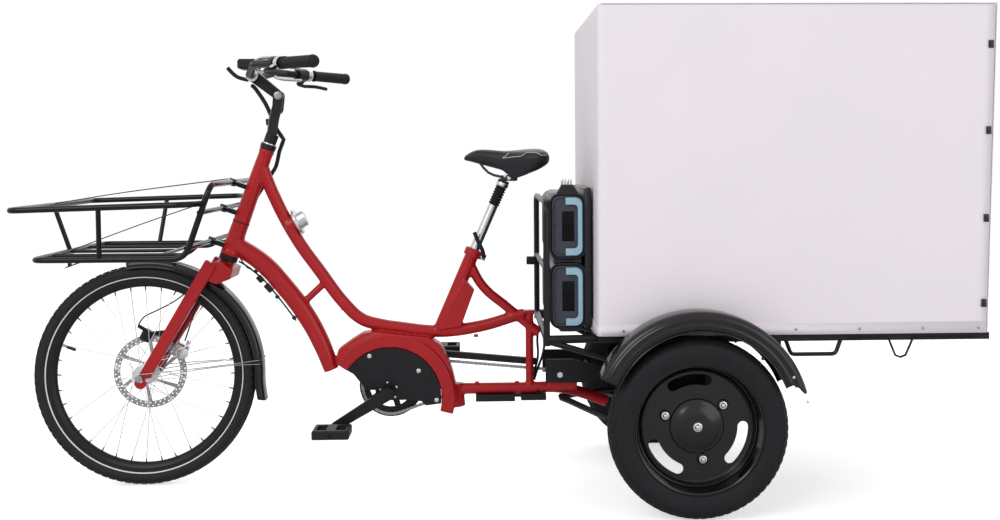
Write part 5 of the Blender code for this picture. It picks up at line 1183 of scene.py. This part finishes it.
def makeSaddle():
    bm = bmesh.new()
    ring = bmesh.ops.create_circle(bm, segments=saddle["around"], radius=0.01)["verts"]
    for index, vert in enumerate(ring):
        vert.co = saddleRing(index, saddle["sections"][0])
    first = list(ring)
    for section in saddle["sections"][1:]:
        edges = [bm.edges.get(pair) for pair in zip(ring, ring[1:] + ring[:1])]
        made = bmesh.ops.extrude_edge_only(bm, edges=edges)
        fresh = {v for v in made["geom"] if isinstance(v, bmesh.types.BMVert)}
        ring = [next(v for v in (e.other_vert(old) for e in old.link_edges) if v in fresh) for old in ring]
        for index, vert in enumerate(ring):
            vert.co = saddleRing(index, section)
    for loop in (first, ring):
        edges = [bm.edges.get(pair) for pair in zip(loop, loop[1:] + loop[:1])]
        cap = bmesh.ops.holes_fill(bm, edges=edges)["faces"]
        bmesh.ops.inset_region(bm, faces=cap, thickness=0.004)
    seat = makePiece("saddleCushion", bm, "seat_upper", saddleVinyl, 80)
    smooth = seat.modifiers.new("smooth", "SUBSURF")
    smooth.levels = smooth.render_levels = 1
    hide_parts("saddle")
    # grey piping sewn in along each flank
    for word, side in leftRight:
        points = []
        for start, end in zip(saddle["piping"], saddle["piping"][1:]):
            for step in range(6):
                x, z = (start[k] + (end[k] - start[k]) * step / 6 for k in (0, 1))
                before = max(i for i, s in enumerate(saddle["sections"]) if s[0] <= x)
                a, b = saddle["sections"][before], saddle["sections"][before + 1]
                t = (x - a[0]) / (b[0] - a[0])
                half, low, high = (a[k] + (b[k] - a[k]) * t for k in (1, 2, 3))
                s = min(0.99, max(0.02, (z - (low + high) / 2) / (high - low) * 2) ** (1 / 0.7))
                c = math.sqrt(1 - s * s)
                lift = (low + high) / 2 + (high - low) / 2 * s ** 0.7 * (1 - 0.14 * c ** 1.5)
                points.append(at(x, side * (half * c ** 0.72 + 0.0002), lift + 0.0002))
        makeCable("saddlePiping" + word, points, 0.0011, "seat_upper", greyPiping)


makeSaddle()

bellows = {"start": 0.1333, "end": 0.1887, "ribs": 7, "inner": 0.0128, "outer": 0.0166, "bore": 0.0113}


def makeBellows():
    pitch = (bellows["end"] - bellows["start"]) / bellows["ribs"]
    profile = [(bellows["bore"], bellows["start"])]
    for rib in range(bellows["ribs"]):
        base = bellows["start"] + pitch * rib
        profile += [(bellows["inner"], base + 0.0004), (bellows["outer"] - 0.0008, base + pitch * 0.36),
                    (bellows["outer"], base + pitch * 0.5),
                    (bellows["outer"] - 0.0008, base + pitch * 0.64)]
    profile += [(bellows["inner"], bellows["end"] - 0.0002), (bellows["bore"], bellows["end"])]
    bm = bmesh.new()
    verts = [bm.verts.new((r, 0, h)) for r, h in profile]
    line = [bm.edges.new(pair) for pair in zip(verts, verts[1:] + verts[:1])]
    bmesh.ops.spin(bm, geom=verts + line, cent=(0, 0, 0), axis=(0, 0, 1), angle=2 * math.pi, steps=40,
                   use_merge=True)
    place = Matrix.Translation(seatAt(0)) @ Matrix.Rotation(seatLean, 4, "Y")
    bmesh.ops.transform(bm, verts=bm.verts, matrix=place)
    boot = makePiece("seatBellows", bm, "seat_lower", softRubber, 50)
    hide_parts("seat_bellows")
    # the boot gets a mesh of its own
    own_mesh(boot)


makeBellows()


def makeSeatBolts():
    bm = bmesh.new()
    addDrum(bm, seatAt(0.1895), seatAt(0.201), 0.0172, rim=0.0012)
    addDrum(bm, at(1.008, -0.0265, 0.84), at(1.008, 0.0265, 0.84), 0.0055, rim=0.001)
    addDrum(bm, at(0.996, -0.027, 0.8465), at(0.996, 0.027, 0.8465), 0.0042, rim=0.001)
    makePiece("seatClampBolts", bm, "seat_upper", brightAluminium)
    bm = bmesh.new()
    addDrum(bm, seatAt(-0.012, -0.03, -0.019), seatAt(-0.012, -0.03, 0.019), 0.0062, rim=0.0012)
    makePiece("collarBolt", bm, "frame", brightAluminium)


makeSeatBolts()
print("stage: seat made")

# chain

chain = {"pitch": 0.0127, "teeth": (40, 18), "y": 0.05, "plateHigh": 0.0082, "plateThick": 0.001,
         "outerY": 0.0031, "innerY": 0.002, "rollerR": 0.0037}
crank = (0.673, 0.256)


def chainRoute():
    big, small = (chain["pitch"] / (2 * math.sin(math.pi / teeth)) for teeth in chain["teeth"])
    back = (rearAxle[0], rearWheelR)
    run = Vector((back[0] - crank[0], back[1] - crank[1]))
    top = math.degrees(math.atan2(run.y, run.x) + math.acos((big - small) / run.length))
    guides = ((0.905, 0.252), (1.105, 0.252))
    off = Vector(guides[0]) - Vector(crank)
    leave = math.degrees(math.atan2(off.y, off.x) - math.acos(big / off.length)) + 360
    off = Vector(guides[1]) - Vector(back)
    arrive = math.degrees(math.atan2(off.y, off.x) + math.acos(small / off.length))
    route = arcPoints(crank, big, top, leave, 90) + list(guides)
    route += arcPoints(back, small, arrive, top + 360, 50)
    route = [Vector(p) for p in route] + [Vector(route[0])]
    steps = [(b - a).length for a, b in zip(route, route[1:])]
    count = 2 * round(sum(steps) / chain["pitch"] / 2)
    pitch = sum(steps) / count
    points, gone = [], 0.0
    for index in range(count):
        wanted = index * pitch
        part, gone = 0, 0.0
        while gone + steps[part] < wanted:
            gone += steps[part]
            part += 1
        points.append(route[part].lerp(route[part + 1], (wanted - gone) / steps[part]))
    return points


def makeChain():
    points = chainRoute()
    bm = bmesh.new()
    for index, (a, b) in enumerate(zip(points, points[1:] + points[:1])):
        across = chain["outerY"] if index % 2 else chain["innerY"]
        middle, run = (a + b) / 2, b - a
        turn = Matrix.Rotation(-math.atan2(run.y, run.x), 4, "Y")
        long = run.length / 2 + chain["plateHigh"] / 2
        for side in (-1, 1):
            place = Matrix.Translation(at(middle.x, chain["y"] + side * across, middle.y))
            shape = Matrix.Diagonal((long, chain["plateHigh"] / 2, 1, 1))
            bmesh.ops.create_cone(bm, cap_ends=True, segments=12, radius1=1, radius2=1,
                                  depth=chain["plateThick"],
                                  matrix=place @ turn @ turned(90, "X") @ shape)
        addDrum(bm, at(a.x, chain["y"] - 0.0038, a.y), at(a.x, chain["y"] + 0.0038, a.y),
                chain["rollerR"] * 0.7, sides=8)
    links = makePiece("chainLinks", bm, "frame", brushedSteel)
    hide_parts("chain")


makeChain()
print("stage: chain made")

# small metal and plastic parts, one list for each body and finish

coverFace = -0.0403
battery = {"x": 1.1545, "face": -0.245, "z": (0.536, 0.718), "section": (0.082, 0.158),
           "window": (0.0312, 0.0772),
           "bezel": (0.072, 0.148, 0.017)}


def makeFrameFittings():
    bright = bmesh.new()
    for x, z in ((0.62, 0.353), (0.755, 0.311), (0.804, 0.23)):
        addDrum(bright, at(x, coverFace - 0.001, z), at(x, coverFace - 0.0042, z), 0.0062, rim=0.001)
    for index in range(5):
        angle = math.radians(72 * index + 28)
        x, z = crank[0] + 0.0235 * math.cos(angle), crank[1] + 0.0235 * math.sin(angle)
        addDrum(bright, at(x, coverFace + 0.001, z), at(x, coverFace - 0.0028, z), 0.0032, rim=0.0006)
    for x in (-0.006, 0.01):
        addDrum(bright, at(battery["x"] + x, -0.115, 0.819), at(battery["x"] + x, -0.115, 0.8375), 0.0031,
                rim=0.0006)
        addDrum(bright, at(battery["x"] + x, -0.115, 0.8185), at(battery["x"] + x, -0.115, 0.8225), 0.0046,
                rim=0.0006)
    for x, y, z in ((1.142, -0.0876, 0.304), (1.464, -0.3, 0.2255), (1.42, -0.2755, 0.28)):
        addDrum(bright, at(x, y, z), at(x, y - 0.006, z), 0.0082, sides=6)
    for x, z in ((1.6918, 0.356), (1.7265, 0.296)):
        addDrum(bright, at(x, -0.4545, z), at(x, -0.4575, z), 0.0034, rim=0.0006)
    makePiece("frameBolts", bright, "frame", brightAluminium)

    red = bmesh.new()
    for spot in ((0.9134, -0.006, 0.401), (0.9154, -0.006, 0.269), (1.0269, -0.006, 0.269),
                 (0.545, 0, 0.478)):
        addDrum(red, at(*spot) - Vector((0.006, 0, 0)), at(*spot) + Vector((0.006, 0, 0)), 0.0042,
                rim=0.001)
    makePiece("cableGuides", red, "frame", redEnamel)

    dark = bmesh.new()
    addDrum(dark, steerAt(0.116), steerAt(0.119), 0.0238, sides=40)
    addDrum(dark, at(1.0834, 0, 0.253), at(1.0876, 0, 0.253), 0.0152, sides=32)
    addBlock(dark, at(1.0855, -0.014, 0.2405), (0.005, 0.004, 0.006), rim=0.0008)
    addBlock(dark, at(1.086, 0.27, 0.586), (0.04, 0.02, 0.024), rim=0.003)
    for spot in ((0.305, 0, 0.587), (0.362, 0, 0.514), (0.408, 0, 0.455)):
        addBlock(dark, at(*spot), (0.01, 0.014, 0.009), turned(48, "Y"), 0.0015)
    makePiece("clipsAndTies", dark, "frame", blackNylon)


makeFrameFittings()


dock = {
    "near": -0.241, "far": 0.131, "clear": 0.0018, "wall": 0.0052, "corner": 0.0225,
    "cap": ((1.1265, 0.8035), (1.14, 0.826), (1.17, 0.826), (1.1835, 0.8035)),
    "foot": ((1.1265, 0.4525), (1.183, 0.4525), (1.174, 0.443), (1.135, 0.443)),
    "bridge": ((1.118, 0.633), (1.118, 0.621), (1.14, 0.6245), (1.169, 0.6245), (1.1905, 0.6205),
               (1.1905, 0.6335), (1.169, 0.6295), (1.14, 0.6295)),
    "backX": (1.1985, 1.2163), "backZ": (0.45, 0.818),
}


def roundRect(x, z, wide, high, corner, steps=8):
    points = []
    for sx, sz, start in ((1, 1, 0), (-1, 1, 90), (-1, -1, 180), (1, -1, 270)):
        middle = (x + sx * (wide / 2 - corner), z + sz * (high / 2 - corner))
        points += arcPoints(middle, corner, start, start + 90, steps)
    return points


# two moulded sleeves hold the batteries, tied by a waisted bridge, a cap and a foot
def makeDock():
    length = dock["far"] - dock["near"]
    y = (dock["far"] + dock["near"]) / 2
    bm = bmesh.new()
    for z in battery["z"]:
        x = battery["x"] + axleX
        inner = roundRect(x, z, *(reach + 2 * dock["clear"] for reach in battery["section"]), 0.0215)
        wide, high = (reach + 2 * (dock["wall"] + dock["clear"]) for reach in battery["section"])
        addFlat(bm, [roundRect(x, z, wide, high, dock["corner"] + dock["wall"]), inner], y, length)
        addPlate(bm, roundRect(battery["x"], z, 0.08, 0.156, 0.02), dock["far"] - 0.003, 0.006)
    addPlate(bm, dock["bridge"], y, length * 0.985)
    addPlate(bm, dock["cap"], dock["near"] + 0.016, 0.03)
    for across in (dock["near"] + 0.016, dock["far"] - 0.016):
        addPlate(bm, dock["foot"], across, 0.03)
    low, high = dock["backZ"]
    front, back = dock["backX"]
    addBlock(bm, at((front + back) / 2, y, (low + high) / 2), (back - front, length, high - low), rim=0.004)
    sleeves = makePiece("batterySleeves", bm, "frame", darkShell, 30)
    roundEdges(sleeves, 0.0009, 40)
    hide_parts("battery_dock")
    pins = bmesh.new()
    for x in (battery["x"] - 0.006, battery["x"] + 0.01):
        addDrum(pins, at(x, dock["near"] + 0.016, 0.824), at(x, dock["near"] + 0.016, 0.842), 0.0024,
                rim=0.0006)
        addDrum(pins, at(x, dock["near"] + 0.016, 0.825), at(x, dock["near"] + 0.016, 0.829), 0.0046,
                sides=6, rim=0.0006)
    makePiece("dockPins", pins, "frame", brightAluminium)


makeDock()


def makeBatteryFronts():
    for word, z in zip(("lower", "upper"), battery["z"]):
        body = word + "_battery"
        wide, high = battery["window"]
        glass = bmesh.new()
        addBlock(glass, at(battery["x"] + 0.001, battery["face"] + 0.001, z), (wide, 0.0014, high),
                 rim=0.0004)
        makePiece("batteryWindow" + word.capitalize(), glass, body, smokedGlass)
        screws = bmesh.new()
        for dz in (-0.05, 0.0, 0.05):
            spot = at(battery["x"] - 0.033, battery["face"], z + dz)
            addDrum(screws, spot + Vector((0, 0.001, 0)), spot - Vector((0, 0.0012, 0)), 0.0034, rim=0.0005)
        makePiece("batteryScrews" + word.capitalize(), screws, body, darkSteel)
        line = roundRect(battery["x"] + axleX, z, *battery["bezel"], 6)
        inner = [(battery["x"] + axleX + (x - battery["x"] - axleX) * 0.955, z + (q - z) * 0.975) for x,
                 q in line]
        edge = bmesh.new()
        addFlat(edge, [line, inner], battery["face"] - 0.0006, 0.0014)
        makePiece("batteryBezel" + word.capitalize(), edge, body, darkShell)


makeBatteryFronts()


def makeSteeringFittings():
    bright = bmesh.new()
    for x, z in ((0.005, 0.2975), (0.0235, 0.299)):
        for side in (-1, 1):
            addDrum(bright, at(x, side * 0.07, z), at(x, side * 0.075, z), 0.0058, rim=0.001)
    addDrum(bright, steerAt(0.346), steerAt(0.35), 0.0205, rim=0.0008, sides=36)
    addDrum(bright, at(0.095, 0.02, 0.356), at(0.095, 0.0262, 0.356), 0.0155, rim=0.0014, sides=32)
    addDrum(bright, at(0.108, 0.03, 0.38), at(0.108, 0.048, 0.386), 0.006, rim=0.001)
    makePiece("forkBolts", bright, "steering_fork", brightAluminium)
    dark = bmesh.new()
    addDrum(dark, at(0.337, 0.024, 0.9915), at(0.335, 0.024, 1.0095), 0.007, rim=0.0014)
    addDrum(dark, at(0.341, 0.025, 1.006), at(0.35, 0.026, 1.003), 0.0035)
    addDrum(dark, at(-0.008, 0.033, 0.42), at(-0.03, 0.033, 0.433), 0.0052, rim=0.001)
    makePiece("cableFittings", dark, "steering_fork", blackNylon)


makeSteeringFittings()

# hoses and cables on the fork, stay wires in the middle of the basket, and cables from the rack to the motor
cables = {
    "frontBrakeHose": (0.0022, "steering_fork", softRubber, (
        (0.098, 0.036, 0.388), (0.108, 0.044, 0.422), (0.126, 0.05, 0.478),
        (0.142, 0.056, 0.528), (0.156, 0.055, 0.572), (0.165, 0.05, 0.59),
    )),
    "upperBrakeCable": (0.002, "steering_fork", softRubber, (
        (-0.03, 0.033, 0.433), (-0.021, 0.0335, 0.456), (0.015, 0.032, 0.472),
        (0.065, 0.04, 0.496), (0.1, 0.048, 0.523), (0.124, 0.052, 0.54),
    )),
    "forkLegCable": (0.0026, "steering_fork", softRubber, (
        (0.045, 0.048, 0.35), (0.072, 0.05, 0.395), (0.112, 0.05, 0.465),
        (0.145, 0.05, 0.53), (0.17, 0.049, 0.575),
    )),
    "basketStayUpper": (0.0016, "frame", darkSteel, (
        (0.23, 0, 0.843), (0.1, 0, 0.827), (-0.1, 0, 0.802), (-0.248, 0, 0.777),
    )),
    "basketStayLower": (0.0016, "frame", darkSteel, (
        (0.17, 0, 0.779), (0.073, 0, 0.748), (-0.07, 0, 0.698), (-0.202, 0, 0.648),
    )),
    "rackCableOne": (0.0034, "frame", softRubber, (
        (1.099, 0.028, 0.42), (1.108, 0.03, 0.38), (1.102, 0.028, 0.34),
        (1.086, 0.026, 0.302), (1.076, 0.023, 0.27),
    )),
    "rackCableTwo": (0.0034, "frame", softRubber, (
        (1.09, 0.036, 0.42), (1.085, 0.04, 0.382), (1.09, 0.038, 0.342),
        (1.082, 0.033, 0.305), (1.07, 0.026, 0.269),
    )),
    "steeringFeed": (0.002, "frame", softRubber, (
        (0.253, 0.028, 0.624), (0.27, 0.02, 0.596), (0.295, 0.008, 0.588),
        (0.313, 0.002, 0.572),
    )),
}
for name, (radius, body, material, points) in cables.items():
    makeCable(name, [at(*point) for point in points], radius, body, material)

# handlebar

barEnd = Vector((0.5142, 0.37, 1.1412))
barElbow = Vector((0.332, 0.169, 1.148))
stemPivot = (0.3696, 1.0727)
barCentre = (0.3, 1.128)


def gripAt(side, back, ahead=0.0, up=0.0):
    run = (barEnd - barElbow).normalized()
    forward = Vector((-run.y, run.x, 0)).normalized()
    place = barEnd - run * back + forward * ahead
    return at(place.x, side * place.y, place.z + up)


def makeBarFittings():
    bright = bmesh.new()
    for side in (-1, 1):
        addDrum(bright, gripAt(side, 0.1415), gripAt(side, 0.1565), 0.0178, rim=0.0012, sides=36)
        addDrum(bright, gripAt(side, 0.149, 0.012, -0.006), gripAt(side, 0.149, 0.04, -0.023), 0.0068,
                rim=0.001)
        x, z = barCentre
        addDrum(bright, at(x, side * 0.0262, z), at(x, side * 0.0282, z), 0.0168, rim=0.0006, sides=36)
        addDrum(bright, at(0.286, side * 0.015, 1.124), at(0.28, side * 0.015, 1.122), 0.0042, rim=0.0008)
    makePiece("barClamps", bright, "bars", brightAluminium)
    dark = bmesh.new()
    for side in (-1, 1):
        addDrum(dark, gripAt(side, -0.0035), gripAt(side, -0.0062), 0.015, rim=0.001, sides=32)
        for back in (0.127, 0.0035):
            addDrum(dark, gripAt(side, back), gripAt(side, back - 0.0035), 0.0169, rim=0.001, sides=32)
        # lever perch, out to the lever's pivot
        addDrum(dark, gripAt(side, 0.149, 0.03, -0.017), gripAt(side, 0.149, 0.043, -0.0248), 0.0085,
                rim=0.0015)
    makePiece("gripCollars", dark, "bars", blackNylon)
    for word, side in leftRight:
        makeCable("leverBracket" + word, [
            at(0.398, side * 0.206, 1.162), at(0.35, side * 0.17, 1.168), at(0.327, side * 0.152, 1.153),
            at(0.329, side * 0.148, 1.138), at(0.348, side * 0.16, 1.126), at(0.402, side * 0.21, 1.128),
        ], 0.0042, "bars", brightAluminium)
    makeCable("stemHandle", [at(0.288, -0.013, 1.116), at(0.264, -0.013, 1.12), at(0.244, -0.013, 1.134),
                             at(0.231, -0.013, 1.15)], 0.0056, "bars", blackNylon)
    glass = bmesh.new()
    addBlock(glass, at(0.288, 0, 1.1722), (0.044, 0.074, 0.0014), rim=0.0005)
    makePiece("displayGlass", glass, "bars", smokedGlass)
    ring = bmesh.new()
    for side in (-1, 1):
        spot = at(stemPivot[0], side * 0.0175, stemPivot[1])
        addDrum(ring, spot, spot + Vector((0, side * 0.0022, 0)), 0.0112, rim=0.0006, sides=32)
        addDrum(ring, spot, spot + Vector((0, side * 0.004, 0)), 0.0062, sides=6)
    makePiece("pivotBolts", ring, "steering_fork", brushedSteel)


makeBarFittings()
print("stage: small fittings made")

# floor, light and camera

studio = {
    "floor": "#F7F7F8", "floorGlow": 0.58, "ambient": 0.46,
    "key": ((-2.6, -4.2, 3.6), 3.2, 118.0), "fill": ((3.4, -4.0, 1.6), 3.0, 40.0),
    "back": ((0.4, 3.6, 3.4), 3.0, 45.0),
}


def makeStudio():
    bm = bmesh.new()
    bmesh.ops.create_grid(bm, x_segments=1, y_segments=1, size=30)
    mesh = bpy.data.meshes.new("floor")
    bm.to_mesh(mesh)
    bm.free()
    floor = bpy.data.objects.new("floor", mesh)
    bpy.context.scene.collection.objects.link(floor)
    paper = bpy.data.materials.new("whitePaper")
    paper.use_nodes = True
    tree = paper.node_tree
    shader = tree.nodes["Principled BSDF"]
    shader.inputs["Base Color"].default_value = hexColour(studio["floor"])
    shader.inputs["Roughness"].default_value = 0.9
    shader.inputs["Emission Color"].default_value = (1, 1, 1, 1)
    seen = addNode(tree, "ShaderNodeLightPath").outputs
    glow = calculate(tree, "MULTIPLY", seen["Is Camera Ray"], studio["floorGlow"])
    tree.links.new(glow, shader.inputs["Emission Strength"])
    mesh.materials.append(paper)

    world = bpy.data.worlds.new("studioWorld")
    bpy.context.scene.world = world
    world.use_nodes = True
    tree = world.node_tree
    backdrop = tree.nodes["Background"]
    backdrop.inputs["Color"].default_value = (1, 1, 1, 1)
    path = addNode(tree, "ShaderNodeLightPath").outputs
    seen = calculate(tree, "MAXIMUM", path["Is Camera Ray"], path["Is Glossy Ray"])
    seen = calculate(tree, "MAXIMUM", seen, path["Is Transmission Ray"])
    level = addNode(tree, "ShaderNodeMapRange", {"To Min": studio["ambient"], "To Max": 1.0},
                    {"Value": seen})
    tree.links.new(level.outputs["Result"], backdrop.inputs["Strength"])

    for name in ("key", "fill", "back"):
        place, size, power = studio[name]
        lamp = bpy.data.lights.new(name, "AREA")
        lamp.size = size
        lamp.energy = power
        light = bpy.data.objects.new(name, lamp)
        light.location = place
        light.rotation_euler = (Vector((0, 0, 0.6)) - Vector(place)).to_track_quat("-Z", "Y").to_euler()
        bpy.context.scene.collection.objects.link(light)


makeStudio()

view = {"place": (-0.047, -3.45, 0.9065), "yawDeg": 2.046, "rollDeg": -0.323, "focusPx": 1233.06,
        "centrePx": (522.81, 154.19), "imagePx": (1000, 520)}
lens = bpy.data.cameras.new("camera")
lens.sensor_width = 36
lens.lens = 36 * view["focusPx"] / view["imagePx"][0]
lens.shift_x = (view["imagePx"][0] / 2 - view["centrePx"][0]) / view["imagePx"][0]
lens.shift_y = -(view["imagePx"][1] / 2 - view["centrePx"][1]) / view["imagePx"][0]
lens.clip_start = 0.05
camera = bpy.data.objects.new("camera", lens)
camera.matrix_world = (Matrix.Translation(view["place"]) @ turned(-view["yawDeg"], "Z")
                       @ turned(90, "X") @ turned(view["rollDeg"], "Z"))
bpy.context.scene.collection.objects.link(camera)
bpy.context.scene.camera = camera
bpy.context.scene.view_settings.view_transform = "Standard"
print("stage: studio and camera set")
